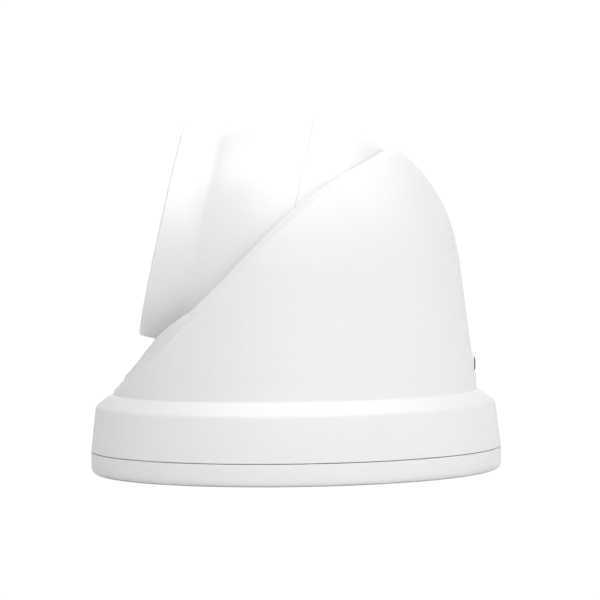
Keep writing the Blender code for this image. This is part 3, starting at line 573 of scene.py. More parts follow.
def eased(z, knots, values, slopes):
    """Cubic between knots, with the value and slope given at each."""
    i = np.clip(np.searchsorted(knots, z, side="right") - 1, 0, len(knots) - 2)
    width = knots[i + 1] - knots[i]
    t = (z - knots[i]) / width
    return ((2 * t ** 3 - 3 * t ** 2 + 1) * values[i] + (t ** 3 - 2 * t ** 2 + t) * width * slopes[i]
            + (3 * t ** 2 - 2 * t ** 3) * values[i + 1] + (t ** 3 - t ** 2) * width * slopes[i + 1])


def neck_profile():
    """(radius, z) from the face's edge down the neck to where it leaves the sphere."""
    on_sphere = math.sqrt(BALL_RADIUS ** 2 - NECK_FOOT ** 2)
    knots = np.array([NECK_FOOT, 29.6 * MM, 32.5 * MM, 36.0 * MM, NECK_TOP])
    values = np.array([on_sphere, 37.75 * MM, 37.15 * MM, 36.8 * MM, FACE_RADIUS])
    slopes = np.array([-NECK_FOOT / on_sphere, -0.27, -0.15, -0.06, 0.0])
    z = np.linspace(NECK_TOP, NECK_FOOT, 40)
    return np.stack([eased(z, knots, values, slopes), z], axis=-1)


def arc(radius, start, end, count):
    """(radius cos a, radius sin a) between two angles measured up from the equator."""
    angle = np.linspace(start, end, count)
    return np.stack([radius * np.cos(angle), radius * np.sin(angle)], axis=-1)


def neck_lowered(rows):
    """y less the neck's drop times a smooth step in z, because the face sits below the ball's axis."""
    rows[..., 1] -= NECK_DROP * smooth_share(rows[..., 2], NECK_FOOT, NECK_BLEND_END)
    return rows


def ball_front_rows(around):
    """Closed section of the front shell: face's edge, neck, sphere, seam, inside and recess."""
    inside = BALL_RADIUS - BALL_WALL
    lip = arc(FACE_ROLL, math.pi / 2, 0.0, 9) + (FACE_RADIUS - FACE_ROLL, NECK_TOP)
    low = math.asin((BALL_SEAM + BALL_SEAM_EDGE) / BALL_RADIUS)
    outer = arc(BALL_RADIUS, math.asin(NECK_FOOT / BALL_RADIUS), low, 44)[1:]
    seam = [outer[-1], (BALL_RADIUS - 0.01 * MM, BALL_SEAM), (inside, BALL_SEAM)]
    inner = arc(inside, math.asin(BALL_SEAM / inside), math.asin(29.0 * MM / inside), 16)
    recess = rounded([
        inner[-1],
        (34.2 * MM, 32.0 * MM),
        (34.2 * MM, 35.5 * MM),
        (31.5 * MM, 36.3 * MM),
        (31.5 * MM, 38.0 * MM),
        (33.6 * MM, 38.0 * MM),
        (33.6 * MM, FACE_PLANE),
        (FACE_RADIUS - FACE_ROLL, FACE_PLANE),
    ], [0.5 * MM, 0.5 * MM, 0.3 * MM, 0.2 * MM, 0.2 * MM, 0.3 * MM], 5)[1:-1]
    section = np.concatenate([
        lip, neck_profile()[1:], outer, rounded(seam, [BALL_SEAM_EDGE], 5)[1:-1], inner, recess])
    return neck_lowered(turn(section, around))


def ball_rear_rows(around):
    """Closed section of the rear shell: sphere, shaft with its bore, inside and seam."""
    inside = BALL_RADIUS - BALL_WALL
    low = math.asin((BALL_SEAM + BALL_SEAM_EDGE) / BALL_RADIUS)
    outer = arc(BALL_RADIUS, -low, -math.acos((SHAFT_RADIUS + 0.6 * MM) / BALL_RADIUS), 60)
    shaft = rounded([
        outer[-1],
        (SHAFT_RADIUS, -BALL_RADIUS + 0.15 * MM),
        (SHAFT_RADIUS, -SHAFT_END),
        (SHAFT_BORE, -SHAFT_END),
        (SHAFT_BORE, -inside + 0.1 * MM),
    ], [0.5 * MM, 0.4 * MM, 0.2 * MM], 5)[1:]
    inner = arc(
        inside, -math.acos((SHAFT_BORE + 0.3 * MM) / inside), -math.asin(BALL_SEAM / inside), 40)
    seam = [inner[-1], (BALL_RADIUS - 0.01 * MM, -BALL_SEAM), outer[0]]
    lip = rounded(seam, [BALL_SEAM_EDGE], 5)[1:-1]
    return turn(np.concatenate([outer, shaft, inner, lip]), around)


def on_ball(rows):
    return placed(rows, BALL_TURN, BALL_CENTRE)


def on_face(rows, spot=(0.0, 0.0, 0.0)):
    """From the face's own axis, or from a spot beside it, into the frame."""
    return placed(rows + np.asarray(spot), BALL_TURN, FACE_CENTRE)


def mark_axis_distance(thing, centre):
    """Stores each point's distance, in millimetres, from the face's axis moved through centre."""
    count = len(thing.data.vertices)
    points = np.empty(count * 3, np.float32)
    thing.data.vertices.foreach_get("co", points)
    away = points.reshape(-1, 3).astype(float) - np.asarray(centre)
    axis = BALL_TURN[:, 2]
    away -= np.outer(away @ axis, axis)
    distance = np.linalg.norm(away, axis=1) / MM
    stored = thing.data.attributes.new("from_axis", "FLOAT", "POINT")
    stored.data.foreach_set("value", distance.astype(np.float32))


# Finishes

class Wire:
    """An output socket. Arithmetic on it adds Math nodes."""

    def __init__(self, graph, node, socket):
        self.graph, self.node, self.socket = graph, node, socket

    def output(self, name):
        return Wire(self.graph, self.node, self.node.outputs[name])

    def math(self, operation, *values):
        return self.graph.add("ShaderNodeMath", {"operation": operation}, dict(enumerate(values)))

    def __add__(self, other):
        return self.math("ADD", self, other)

    __radd__ = __add__

    def __mul__(self, other):
        return self.math("MULTIPLY", self, other)

    __rmul__ = __mul__

    def __sub__(self, other):
        return self.math("SUBTRACT", self, other)

    def __rsub__(self, other):
        return self.math("SUBTRACT", other, self)

    def __pow__(self, other):
        return self.math("POWER", self, other)

    def fraction(self):
        return self.math("FRACT", self)

    def over(self, value):
        return self.math("GREATER_THAN", self, value)

    def under(self, value):
        return self.math("LESS_THAN", self, value)

    def clamped(self):
        return self.graph.add("ShaderNodeClamp", {}, {"Value": self}, "Result")


class Graph:
    """The node tree of one finish, or of the room."""

    def __init__(self, name, kind="materials"):
        self.owner = getattr(bpy.data, kind).new(name)
        self.owner.use_nodes = True
        self.tree = self.owner.node_tree
        self.tree.nodes.clear()

    def add(self, kind, settings=None, sockets=None, out=0):
        """One node: its settings first, then the values or links of its sockets."""
        node = self.tree.nodes.new(kind)
        for name, value in (settings or {}).items():
            if name == "stops":
                ramp = node.color_ramp.elements
                while len(ramp) < len(value):
                    ramp.new(1.0)
                for element, (position, colour) in zip(ramp, value):
                    element.position = position
                    element.color = (*colour, 1.0)
            else:
                setattr(node, name, value)
        for name, value in (sockets or {}).items():
            if isinstance(value, Wire):
                self.tree.links.new(value.socket, node.inputs[name])
            else:
                node.inputs[name].default_value = value
        return Wire(self, node, node.outputs[out] if node.outputs else None)

    def coordinates(self):
        return self.add("ShaderNodeTexCoord", out="Object")

    def noise(self, scale, detail=2.0, roughness=0.5, vector=None):
        return self.add("ShaderNodeTexNoise", {}, {
            "Vector": vector or self.coordinates(), "Scale": scale, "Detail": detail,
            "Roughness": roughness}, "Fac")

    def cells(self, scale, feature="F1", **settings):
        return self.add("ShaderNodeTexVoronoi", {"feature": feature, **settings}, {
            "Vector": self.coordinates(), "Scale": scale}, "Distance")

    def stretched(self, scale):
        return self.add("ShaderNodeMapping", {}, {"Vector": self.coordinates(), "Scale": scale})

    def facing(self, blend=0.5):
        """0 where the surface is seen square on, up to 1 at its edge."""
        return self.add("ShaderNodeLayerWeight", {}, {"Blend": blend}, "Facing")

    def from_axis(self):
        return self.add("ShaderNodeAttribute", {"attribute_name": "from_axis"}, {}, "Fac")

    def mixed(self, factor, first, second):
        """Colour between first and second."""
        return self.add("ShaderNodeMix", {"data_type": "RGBA"}, {
            0: factor, 6: (*first, 1.0) if isinstance(first, tuple) else first,
            7: (*second, 1.0) if isinstance(second, tuple) else second}, 2)

    def bumped(self, height, distance):
        return self.add("ShaderNodeBump", {}, {
            "Height": height, "Distance": distance, "Strength": 1.0})

    def shader(self, **sockets):
        """Principled shader, with underscores in socket names read as spaces."""
        named = {name.replace("_", " "): value for name, value in sockets.items()}
        for name in ("Base Color", "Emission Color", "Coat Tint", "Specular Tint"):
            if isinstance(named.get(name), tuple):
                named[name] = (*named[name], 1.0)
        return self.add("ShaderNodeBsdfPrincipled", {}, named)

    def finish(self, shader):
        self.add("ShaderNodeOutputMaterial", {}, {"Surface": shader})
        return self.owner


def mottled(name, dark, light, roughness, spread, depth, grain, patches=None, metallic=0.0):
    """Finish whose fine grain varies roughness and relief, and whose wider patches vary the
    colour. Grain and patches are each a noise's scale, detail, roughness and stretch."""
    g = Graph(name)

    def noise(scale, detail=2.0, uneven=0.5, stretch=None):
        return g.noise(scale, detail, uneven, g.stretched(stretch) if stretch else None)

    fine = noise(*grain)
    colour = g.mixed(noise(*patches) if patches else fine, dark, light)
    return g.finish(g.shader(
        Base_Color=colour, Metallic=metallic, Roughness=roughness + (fine - 0.5) * spread,
        Normal=g.bumped(fine, depth)))


def shade_of(colour, factor):
    return tuple(min(max(c * factor, 0.0), 1.0) for c in colour)


def grained_white(settings):
    """Spark-textured moulding: fine rounded pits, with a faint wide mottle in the white."""
    g = Graph("grained_white")
    scale = 1.0 / settings.grain_size
    pits = g.noise(scale, 3.0, 0.62)
    wide = g.noise(90.0, 2.0, 0.5)
    white = tuple(settings.white)
    sharp = ((pits - 0.5) * 2.2 + 0.5).clamped()
    fine = g.mixed(sharp, shade_of(white, 0.975), shade_of(white, 1.012))
    colour = g.mixed(wide * 0.35, fine, shade_of(white, 0.985))
    return g.finish(g.shader(
        Base_Color=colour, Roughness=0.5 + (pits - 0.5) * 0.3, IOR=1.5,
        Normal=g.bumped(pits, settings.grain_depth)))


def satin_white(settings):
    """Smoother moulding of the ball, with a very fine texture."""
    g = Graph("satin_white")
    fine = g.noise(3.6 / settings.grain_size, 2.0, 0.6)
    wide = g.noise(60.0, 2.0, 0.5)
    white = tuple(settings.satin_white)
    colour = g.mixed(wide, shade_of(white, 0.99), shade_of(white, 1.006))
    return g.finish(g.shader(
        Base_Color=colour, Roughness=0.37 + (fine - 0.5) * 0.12, IOR=1.5,
        Normal=g.bumped(fine, settings.grain_depth * 0.1)))


def black_plastic(settings):
    black = tuple(settings.black)
    return mottled(
        "black_moulding", shade_of(black, 0.75), shade_of(black, 1.5), roughness=0.34, spread=0.2,
        depth=0.006 * MM, grain=(2200.0, 2.0, 0.6))


def rubber():
    return mottled(
        "black_rubber", (0.026, 0.026, 0.028), (0.05, 0.05, 0.052), roughness=0.72, spread=0.2,
        depth=0.02 * MM, grain=(1500.0, 3.0, 0.65), patches=(120.0,))


def foam():
    """Closed cells: a bump that dips between the centres of a cell pattern."""
    g = Graph("foam_seal")
    cell = g.cells(1400.0)
    colour = g.mixed((cell * 1.3).clamped(), (0.035, 0.035, 0.036), (0.075, 0.075, 0.077))
    return g.finish(g.shader(
        Base_Color=colour, Roughness=0.93, Normal=g.bumped(1 - cell, 0.12 * MM)))


def nylon():
    return mottled(
        "natural_nylon", (0.66, 0.65, 0.6), (0.76, 0.75, 0.7), roughness=0.42, spread=0.16,
        depth=0.006 * MM, grain=(2600.0,), patches=(260.0, 3.0, 0.55, (1.0, 0.35, 1.0)))


def plated_steel():
    return mottled(
        "plated_steel", (0.55, 0.55, 0.57), (0.68, 0.68, 0.69), roughness=0.27, spread=0.2,
        depth=0.004 * MM, grain=(700.0, 3.0, 0.6, (1.0, 1.0, 9.0)), patches=(160.0,), metallic=1.0)


def brass():
    return mottled(
        "turned_brass", (0.70, 0.52, 0.24), (0.83, 0.65, 0.34), roughness=0.3, spread=0.2,
        depth=0.005 * MM, grain=(900.0, 2.0, 0.5, (0.15, 0.15, 3.0)), metallic=1.0)


def cast_aluminium():
    return mottled(
        "blasted_aluminium", (0.66, 0.67, 0.69), (0.77, 0.78, 0.79), roughness=0.44, spread=0.2,
        depth=0.014 * MM, grain=(1900.0, 3.0, 0.65), patches=(110.0,), metallic=1.0)


def face_black():
    """Black panel behind the window: a satin black with a very fine texture."""
    return mottled(
        "face_panel_black", (0.007, 0.007, 0.008), (0.012, 0.012, 0.014), roughness=0.34,
        spread=0.08, depth=0.001 * MM, grain=(1100.0, 2.0, 0.55), patches=(35.0,))


def circuit_board():
    """Green mask over tracks: cell borders on a snapped grid stand a little proud."""
    g = Graph("circuit_board_green")
    tracks = g.cells(330.0, "F2", distance="MANHATTAN")
    pads = g.cells(430.0, "F1")
    line = (tracks * 7.0).fraction().under(0.3)
    pad = pads.under(0.16)
    mask = g.mixed(line, (0.012, 0.09, 0.04), (0.03, 0.2, 0.085))
    colour = g.mixed(pad, mask, (0.72, 0.58, 0.28))
    return g.finish(g.shader(
        Base_Color=colour, Roughness=0.3 + g.noise(500.0) * 0.12, Metallic=pad * 0.9,
        Normal=g.bumped(line * 0.6 + pad * 0.5, 0.03 * MM)))


def coated_glass():
    """Lens glass over a dark barrel, its coating tinted by the angle of view."""
    g = Graph("coated_lens_glass")
    stops = [(0.0, (0.02, 0.03, 0.07)), (0.45, (0.05, 0.02, 0.09)), (1.0, (0.02, 0.07, 0.05))]
    tint = g.add("ShaderNodeValToRGB", {"stops": stops}, {"Fac": g.facing(0.35)}, "Color")
    smear = g.noise(40.0, 2.0)
    return g.finish(g.shader(
        Base_Color=tint, Roughness=0.02 + smear * 0.03, IOR=1.6, Coat_Weight=1.0,
        Coat_Roughness=0.02))


def window_glass():
    """Clear pane: what is behind shows through, and a hard-coated surface gleams over it."""
    g = Graph("clear_window")
    through = g.add("ShaderNodeBsdfTransparent", {}, {"Color": (0.9, 0.91, 0.92, 1.0)})
    smear = g.noise(55.0, 3.0)
    gloss = g.shader(Base_Color=(0.01, 0.01, 0.012), Roughness=0.04 + smear * 0.04, IOR=2.5)
    share = g.facing() ** 5 * 0.8 + 0.15
    return g.finish(g.add("ShaderNodeMixShader", {}, {0: share, 1: through, 2: gloss}))


def led_epoxy(name, centre, rim):
    """Epoxy dome with its chip showing as a spot round the piece's own axis, in a bright cup."""
    g = Graph(name)
    away = g.from_axis()
    cup = away.over(2.6)
    base = g.mixed(away.under(1.9), rim, shade_of(rim, 1.3))
    epoxy = g.mixed(away.under(0.75), base, centre)
    colour = g.mixed(cup, epoxy, (0.62, 0.62, 0.64))
    return g.finish(g.shader(
        Base_Color=colour, Metallic=cup, Roughness=0.08 + g.noise(600.0) * 0.04 + cup * 0.14,
        IOR=1.53, Coat_Weight=0.6))


def anodised():
    """Dark anodised metal: fine turning marks round the axis, and a soft sheen."""
    g = Graph("anodised_barrel")
    rings = g.add("ShaderNodeCombineXYZ", {}, {"X": g.from_axis() * 9.0}, "Vector")
    turned = g.noise(3.0, 3.0, 0.6, rings)
    colour = g.mixed(turned, (0.10, 0.10, 0.11), (0.17, 0.17, 0.18))
    return g.finish(g.shader(
        Base_Color=colour, Metallic=0.85, Roughness=0.3 + (turned - 0.5) * 0.16,
        Normal=g.bumped(turned, 0.004 * MM)))


def pale_floor(stage):
    """Matt floor that glows at a low angle of view, so that it meets the room without a line."""
    g = Graph("pale_floor")
    patches = g.noise(3.0)
    colour = g.mixed(patches, (0.79, 0.79, 0.79), (0.81, 0.81, 0.81))
    matt = g.shader(Base_Color=colour, Roughness=0.9)
    glow = g.add("ShaderNodeEmission", {}, {"Strength": stage.glow})
    low = g.add("ShaderNodeMapRange", {}, {
        "Value": g.facing(), "From Min": 0.78, "From Max": 0.95}, "Result")
    return g.finish(g.add("ShaderNodeMixShader", {}, {0: low, 1: matt, 2: glow}))


FINISHES = {}
SLOT_FINISH = {
    "white_grain": "white", "white_satin": "satin", "black_plastic": "black", "rubber": "rubber",
    "nylon": "nylon", "steel": "steel", "brass": "brass", "aluminium": "aluminium",
    "circuit_board": "board", "lens_glass": "lens", "foam": "foam", "led_epoxy": "spot_led",
}


def settings_of(context):
    return context.scene.turret_skins, context.scene.turret_finishes, context.scene.turret_stage


class TURRET_OT_finishes(Operator):
    """Make every finish and put it on the frame's own nodes"""
    bl_idname = "turret.finishes"
    bl_label = "Finishes"

    def execute(self, context):
        _, finishes, _ = settings_of(context)
        FINISHES.update({
            "white": grained_white(finishes),
            "satin": satin_white(finishes),
            "black": black_plastic(finishes),
            "rubber": rubber(),
            "foam": foam(),
            "nylon": nylon(),
            "steel": plated_steel(),
            "brass": brass(),
            "aluminium": cast_aluminium(),
            "board": circuit_board(),
            "lens": coated_glass(),
            "window": window_glass(),
            "barrel": anodised(),
            "panel": face_black(),
            "spot_led": led_epoxy("spot_led_epoxy", (0.95, 0.75, 0.12), (0.75, 0.75, 0.72)),
            "infrared_led": led_epoxy(
                "infrared_led_epoxy", (0.16, 0.03, 0.03), (0.30, 0.27, 0.31)),
        })
        slots = {s["node"]: s["material_slot"] for s in frame["record"]["subparts"]}
        for name, node in frame["nodes"].items():
            node.data.materials.clear()
            node.data.materials.append(FINISHES[SLOT_FINISH[slots[name]]])
        return {"FINISHED"}


class TURRET_OT_base(Operator):
    """Make the mounting base's skin, with its alignment mark and screw holes"""
    bl_idname = "turret.base"
    bl_label = "Base"

    def execute(self, context):
        skins, _, _ = settings_of(context)
        base = shape("base_skin", base_rows(skins.around), ring=True)
        combined(base, mark_mesh(), "DIFFERENCE")
        for i in range(3):
            wall_hole = cylinder(2.5 * MM, -5.0 * MM, 10.0 * MM)
            cut(base, wall_hole + spot_on(WALL_SCREW_CIRCLE, 90 + 120 * i))
            pilot = cylinder(1.35 * MM, 5.5 * MM, 20.0 * MM, 24)
            cut(base, pilot + spot_on(RETAINER_SCREW_CIRCLE, 150 + 120 * i))
        settle(base, "base", "white", "mounting_base")
        return {"FINISHED"}


class TURRET_OT_hood(Operator):
    """Make the hood's skin, with its rim, skirt, grille and lock pads"""
    bl_idname = "turret.hood"
    bl_label = "Hood"

    def execute(self, context):
        skins, _, _ = settings_of(context)
        hood = shape("hood_skin", hood_rows(skins), ring=True)
        joined(hood, lock_pad_rows(face=61.0 * MM, half_height=4.0 * MM, middle=28.6 * MM))
        joined(hood, lock_pad_rows(face=60.3 * MM, half_height=3.4 * MM, middle=34.6 * MM))
        cut(hood, placed(cylinder(2.5 * MM, 50.0 * MM, 70.0 * MM), BACK_TURN, LOCK_SCREW_SPOT))
        for sign in (-1, 1):
            side = about("Y", sign * math.pi / 2)
            joined(hood, placed(cylinder(4.5 * MM, 51.5 * MM, 54.0 * MM), side, BALL_CENTRE))
            cut(hood, placed(cylinder(1.7 * MM, 50.0 * MM, 53.2 * MM, 24), side, BALL_CENTRE))
        grille = prisms("grille", grille_centres(), skins.grille_hole, 14, 43.0 * MM, 61.0 * MM,
                        BACK_TURN, (0.0, 0.0, SPEAKER_Z))
        combined(hood, grille, "DIFFERENCE")
        settle(hood, "hood", "white", "hood_shell")
        return {"FINISHED"}


class TURRET_OT_collar(Operator):
    """Make the plate that closes the rim round the ball, with its raised lip"""
    bl_idname = "turret.collar"
    bl_label = "Rim collar"

    def execute(self, context):
        gap, low, high = 0.6 * MM, HOOD_FOOT_Z - 1.0 * MM, DOME_CENTRE_Z + 40.0 * MM
        height = np.linspace(high, low, 60)
        section = np.concatenate([[(0.0, high)], on_wall(hood_inner, height, gap), [(0.0, low)]])
        plate = shape("collar_skin", turn(section, 240))
        slope = about("X", RIM_LOW_SLOPE)
        slab = block((150 * MM, 150 * MM, COLLAR_THICKNESS), (0.0, 0.0, COLLAR_RISE))
        combined(plate, skin("slab", placed(slab, slope, BALL_CENTRE)), "INTERSECT")
        relief = cylinder(FACE_RADIUS + NECK_DROP + 1.6 * MM, 26 * MM, 70 * MM, 240)
        cut(plate, on_ball(relief))
        raised = about("X", math.pi / 2 - REST_TILT - TILT_RANGE)
        cut(plate, placed(relief, raised, BALL_CENTRE))
        joined(plate, collar_lip(), ring=True)
        cut(plate, placed(cylinder(BALL_RADIUS + gap, -40 * MM, 40 * MM, 240), slope, BALL_CENTRE))
        cut(plate, block((150 * MM, 80 * MM, 120 * MM), (0.0, 50 * MM, 80 * MM)))
        settle(plate, "hood", "white", "rim_collar")
        return {"FINISHED"}


class TURRET_OT_ball(Operator):
    """Make the ball's front and rear shells"""
    bl_idname = "turret.ball"
    bl_label = "Ball"

    def execute(self, context):
        skins, _, _ = settings_of(context)
        front = shape("ball_front_skin", on_ball(ball_front_rows(skins.around)), ring=True)
        settle(front, "ball", "satin", "ball_front_shell")
        rear = shape("ball_rear_skin", on_ball(ball_rear_rows(skins.around)), ring=True)
        plug_hole = cylinder(3.0 * MM, -45 * MM, -28 * MM)
        cut(rear, on_ball(plug_hole + spot_on(30 * MM, -90)))
        settle(rear, "ball", "satin", "ball_rear_shell")
        return {"FINISHED"}


class TURRET_OT_face(Operator):
    """Make the window, the black panel and the lamps behind it"""
    bl_idname = "turret.face"
    bl_label = "Face"

    def execute(self, context):
        low = WINDOW_TOP - 1.0 * MM
        pane = rounded([(0.0, WINDOW_TOP), (WINDOW_RADIUS, WINDOW_TOP), (WINDOW_RADIUS, low),
                        (0.0, low)], [0.3 * MM, 0.15 * MM])
        window = shape("window_pane", on_face(turn(pane, 240)))
        settle(window, "ball", "window", "front_window")
        low = PANEL_TOP - 2.0 * MM
        corners = [
            (PANEL_BORE, PANEL_TOP - 0.9 * MM), (PANEL_BORE + 1.9 * MM, PANEL_TOP),
            (WINDOW_RADIUS, PANEL_TOP), (WINDOW_RADIUS, low), (PANEL_BORE, low)]
        rounds = np.array([0.2, 0.4, 0.3, 0.2, 0.2]) * MM
        panel = shape("face_panel", on_face(turn(rounded_ring(corners, rounds), 240)), ring=True)
        flare = np.array([(0.0, 42.0), (4.4, 42.0), (4.1, 40.4), (3.0, 39.3), (3.0, 36.0), (0.0, 36.0)])
        lamp_hole = turn(rounded(flare * MM, [0.1 * MM] * 4), 64)
        for i in range(4):
            cut(panel, on_face(lamp_hole, spot_on(LED_CIRCLE, 90 * i + 45)))
        cut(panel, on_face(cylinder(0.8 * MM, 36 * MM, 42 * MM, 24), spot_on(26.5 * MM, -90)))
        settle(panel, "ball", "panel", "front_plate")
        bend = np.linspace(0.0, math.pi / 2, 14)
        dome = np.stack([
            LED_RADIUS * np.sin(bend), 35.3 * MM + 2.3 * MM * np.cos(bend)], axis=-1)
        cup = np.array([(2.5, 34.8), (2.8, 34.8), (2.86, 39.2), (3.92, 40.22), (4.05, 40.28),
                        (2.97, 39.2), (2.92, 33.9), (2.5, 33.4), (0.0, 33.4)]) * MM
        lamp_rows = turn(np.concatenate([dome, cup]), 48)
        for i, lamp in enumerate(("infrared_led_1", "spot_led_1", "infrared_led_2", "spot_led_2")):
            spot = spot_on(LED_CIRCLE, 90 * i + 45)
            made = shape(f"{lamp}_dome", on_face(lamp_rows, spot))
            settle(made, "ball", lamp[:-2], lamp)
            mark_axis_distance(made, on_face(np.zeros(3), spot))
        return {"FINISHED"}


class TURRET_OT_optics(Operator):
    """Make the lens, its barrel and its light baffle"""
    bl_idname = "turret.optics"
    bl_label = "Optics"

    def execute(self, context):
        dome, back = 9.35 * MM, LENS_TOP - 5.0 * MM
        radius = np.linspace(0.0, LENS_RADIUS, 24)
        cap = np.stack([radius, LENS_TOP - dome + np.sqrt(dome ** 2 - radius ** 2)], axis=-1)
        section = np.concatenate([cap, [(LENS_RADIUS, back), (0.0, back)]])
        lens = shape("front_lens_glass", on_face(turn(section, 96)))
        settle(lens, "ball", "lens", "front_lens")
        groove = np.array([(0.0, 0.0), (-0.3, -0.3), (-0.3, -0.6), (0.0, -0.9)]) * MM
        thread = [groove + (BARREL_RADIUS, 33.6 * MM - step * 1.2 * MM) for step in range(7)]
        mouth = np.array([(7.9, 39.1), (8.2, 39.6), (9.2, 39.6), (9.5, 39.3)]) * MM
        rear = np.array([(9.5, 25.0), (7.0, 25.0), (7.0, 10.7), (3.2, 10.7), (5.6, 14.5),
                         (5.6, 33.0), (7.9, 34.5)]) * MM
        section = rounded_ring(np.concatenate([mouth, *thread, rear]), 0.12 * MM, 3)
        barrel = shape("lens_barrel_skin", on_face(turn(section, 128)), ring=True)
        settle(barrel, "ball", "barrel", "lens_barrel")
        mark_axis_distance(barrel, FACE_CENTRE)
        foam_ring = np.array([(9.9, 33.4), (9.9, 38.0), (13.5, 38.0), (13.5, 33.4)]) * MM
        section = rounded_ring(foam_ring, 0.5 * MM, 5)
        baffle = shape("baffle_foam", on_face(turn(section, 96)), ring=True)
        settle(baffle, "ball", "foam", "light_baffle")
        return {"FINISHED"}


class TURRET_OT_lock(Operator):
    """Make the pan-lock screw, with its hexagon socket"""
    bl_idname = "turret.lock"
    bl_label = "Pan lock"

    def execute(self, context):
        outline = np.array([(0.0, 60.85), (2.2, 60.85), (2.2, 58.4), (1.4, 58.4), (1.4, 53.4),
                            (0.0, 53.4)]) * MM
        section = rounded(outline, np.array([0.35, 0.1, 0.1, 0.3]) * MM)
        screw = shape("lock_screw_head", placed(turn(section, 64), BACK_TURN, LOCK_SCREW_SPOT))
        socket = prisms("socket", np.zeros((1, 2)), 1.2 * MM, 6, 59.6 * MM, 63.0 * MM,
                        BACK_TURN, LOCK_SCREW_SPOT)
        combined(screw, socket, "DIFFERENCE")
        settle(screw, "hood", "black", "lock_screw")
        return {"FINISHED"}


# Stage

VIEW_DISTANCE = 1185.4 * MM
VIEW_RISE = 0.0366
VIEW_ROLL = 0.0151
VIEW_AIM_Z = 58.0 * MM
VIEW_LENS_MM = 210.87
SENSOR_MM = 36.0
VIEW_SHIFT_ACROSS = 0.0017271
VIEW_SHIFT_UP = -0.0006345
FLOOR_RADIUS = 1.4
ROOM_FADE = (0.16, 0.36)
# Each light's place and size, in metres
LIGHTS = {
    "top": ((0.0, 0.0, 1.7), (2.0, 2.0)),
    "over_face": ((0.2, -0.7, 1.5), (0.6, 0.6)),
    "over_back": ((0.2, 0.9, 1.5), (0.8, 0.8)),
    "over_side": ((0.9, 0.0, 1.6), (0.8, 0.8)),
    "side": ((1.7, 0.0, 1.0), (1.2, 1.2)),
    "far": ((-1.5, 0.0, 1.1), (1.4, 1.0)),
}
LIGHT_AIM = (0.0, 0.0, 0.06)


def add_camera():
    """Camera at a distance, rise and roll, aimed a little beside the object's middle."""
    away = np.array([math.cos(VIEW_RISE), 0.0, math.sin(VIEW_RISE)])
    spot = away * VIEW_DISTANCE + np.array([0.0, 0.0, VIEW_AIM_Z])
    across = np.array([0.0, 1.0, 0.0])
    rise = np.array([-math.sin(VIEW_RISE), 0.0, math.cos(VIEW_RISE)])
    cos, sin = math.cos(VIEW_ROLL), math.sin(VIEW_ROLL)
    right, up = cos * across - sin * rise, sin * across + cos * rise
    ahead = -away + right * VIEW_SHIFT_ACROSS + up * VIEW_SHIFT_UP
    ahead = ahead / np.linalg.norm(ahead)
    right = right - ahead * (right @ ahead)
    right = right / np.linalg.norm(right)
    up = np.cross(right, ahead)
    data = bpy.data.cameras.new("view")
    data.sensor_width = SENSOR_MM
    data.lens = VIEW_LENS_MM
    data.clip_start, data.clip_end = 0.05, 50.0
    view = piece("view", data)
    pose = np.eye(4)
    pose[:3, :3] = np.stack([right, up, -ahead], axis=1)
    pose[:3, 3] = spot
    view.matrix_world = Matrix(pose.tolist())
    bpy.context.scene.camera = view


def add_light(name, spot, size, radiance):
    """Rectangular area light facing the object. Its power is radiance times pi times its area."""
    data = bpy.data.lights.new(name, "AREA")
    data.shape, data.size, data.size_y = "RECTANGLE", size[0], size[1]
    data.energy = radiance * math.pi * size[0] * size[1]
    light = piece(name, data)
    away = Vector(spot) - Vector(LIGHT_AIM)
    light.matrix_world = Matrix.Translation(spot) @ away.to_track_quat("Z", "Y").to_matrix().to_4x4()


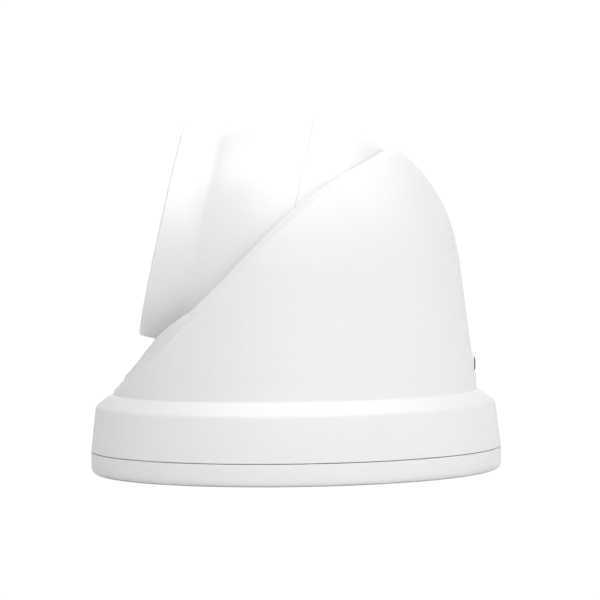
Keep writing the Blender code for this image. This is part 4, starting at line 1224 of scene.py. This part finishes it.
def add_room(radiance):
    """Pale room, brightest at eye level: in the direction (x, y, z) its radiance is the sum of
    x^2 and y^2 times those of the sides faced, and it fades out between two heights z."""
    g = Graph("room", "worlds")
    direction = g.add("ShaderNodeTexCoord", out="Generated")
    split = g.add("ShaderNodeSeparateXYZ", {}, {"Vector": direction})
    sides = 0.0
    for axis, (ahead, behind) in (("X", radiance[:2]), ("Y", radiance[2:])):
        along = split.output(axis)
        sides = sides + along * along * (along.over(0.0) * (ahead - behind) + behind)
    level = g.add("ShaderNodeMapRange", {}, {
        "Value": split.output("Z"), "From Min": ROOM_FADE[0], "From Max": ROOM_FADE[1],
        "To Min": 1.0, "To Max": 0.0}, "Result")
    light = g.add("ShaderNodeBackground", {}, {"Strength": sides * level})
    g.add("ShaderNodeOutputWorld", {}, {"Surface": light})
    bpy.context.scene.world = g.owner


class TURRET_OT_stage(Operator):
    """Make the pale floor, the soft lights, the room and the camera"""
    bl_idname = "turret.stage"
    bl_label = "Stage"

    def execute(self, context):
        _, _, stage = settings_of(context)
        rings = np.concatenate([[0.0], np.geomspace(0.1, FLOOR_RADIUS, 24)])
        floor = shape("floor", turn(np.stack([rings, np.zeros(25)], axis=-1), 64))
        floor.data.materials.append(pale_floor(stage))
        for name, (spot, size) in LIGHTS.items():
            add_light(f"{name}_light", spot, size, getattr(stage, name))
        add_room(tuple(stage.room))
        add_camera()
        context.scene.view_settings.view_transform = "Standard"
        return {"FINISHED"}


# Add-on

STEPS = (TURRET_OT_finishes, TURRET_OT_base, TURRET_OT_hood, TURRET_OT_collar, TURRET_OT_ball,
         TURRET_OT_face, TURRET_OT_optics, TURRET_OT_lock, TURRET_OT_stage)


class TURRET_PT_panel(Panel):
    """Lists the steps and the sizes and colours they use"""
    bl_idname = "TURRET_PT_panel"
    bl_label = "Turret camera"
    bl_space_type = "VIEW_3D"
    bl_region_type = "UI"
    bl_category = "Turret camera"

    def draw(self, context):
        for settings in settings_of(context):
            box = self.layout.box()
            for name in settings.__annotations__:
                box.prop(settings, name)
        for step in STEPS:
            self.layout.operator(step.bl_idname)


CLASSES = (SkinSettings, FinishSettings, StageSettings, *STEPS, TURRET_PT_panel)


def register():
    for made in CLASSES:
        bpy.utils.register_class(made)
    bpy.types.Scene.turret_skins = PointerProperty(type=SkinSettings)
    bpy.types.Scene.turret_finishes = PointerProperty(type=FinishSettings)
    bpy.types.Scene.turret_stage = PointerProperty(type=StageSettings)


def unregister():
    for name in ("turret_stage", "turret_finishes", "turret_skins"):
        delattr(bpy.types.Scene, name)
    for made in reversed(CLASSES):
        bpy.utils.unregister_class(made)


def main():
    register()
    for step in STEPS:
        getattr(bpy.ops.turret, step.bl_idname.removeprefix("turret."))()


if __name__ == "__main__":
    main()
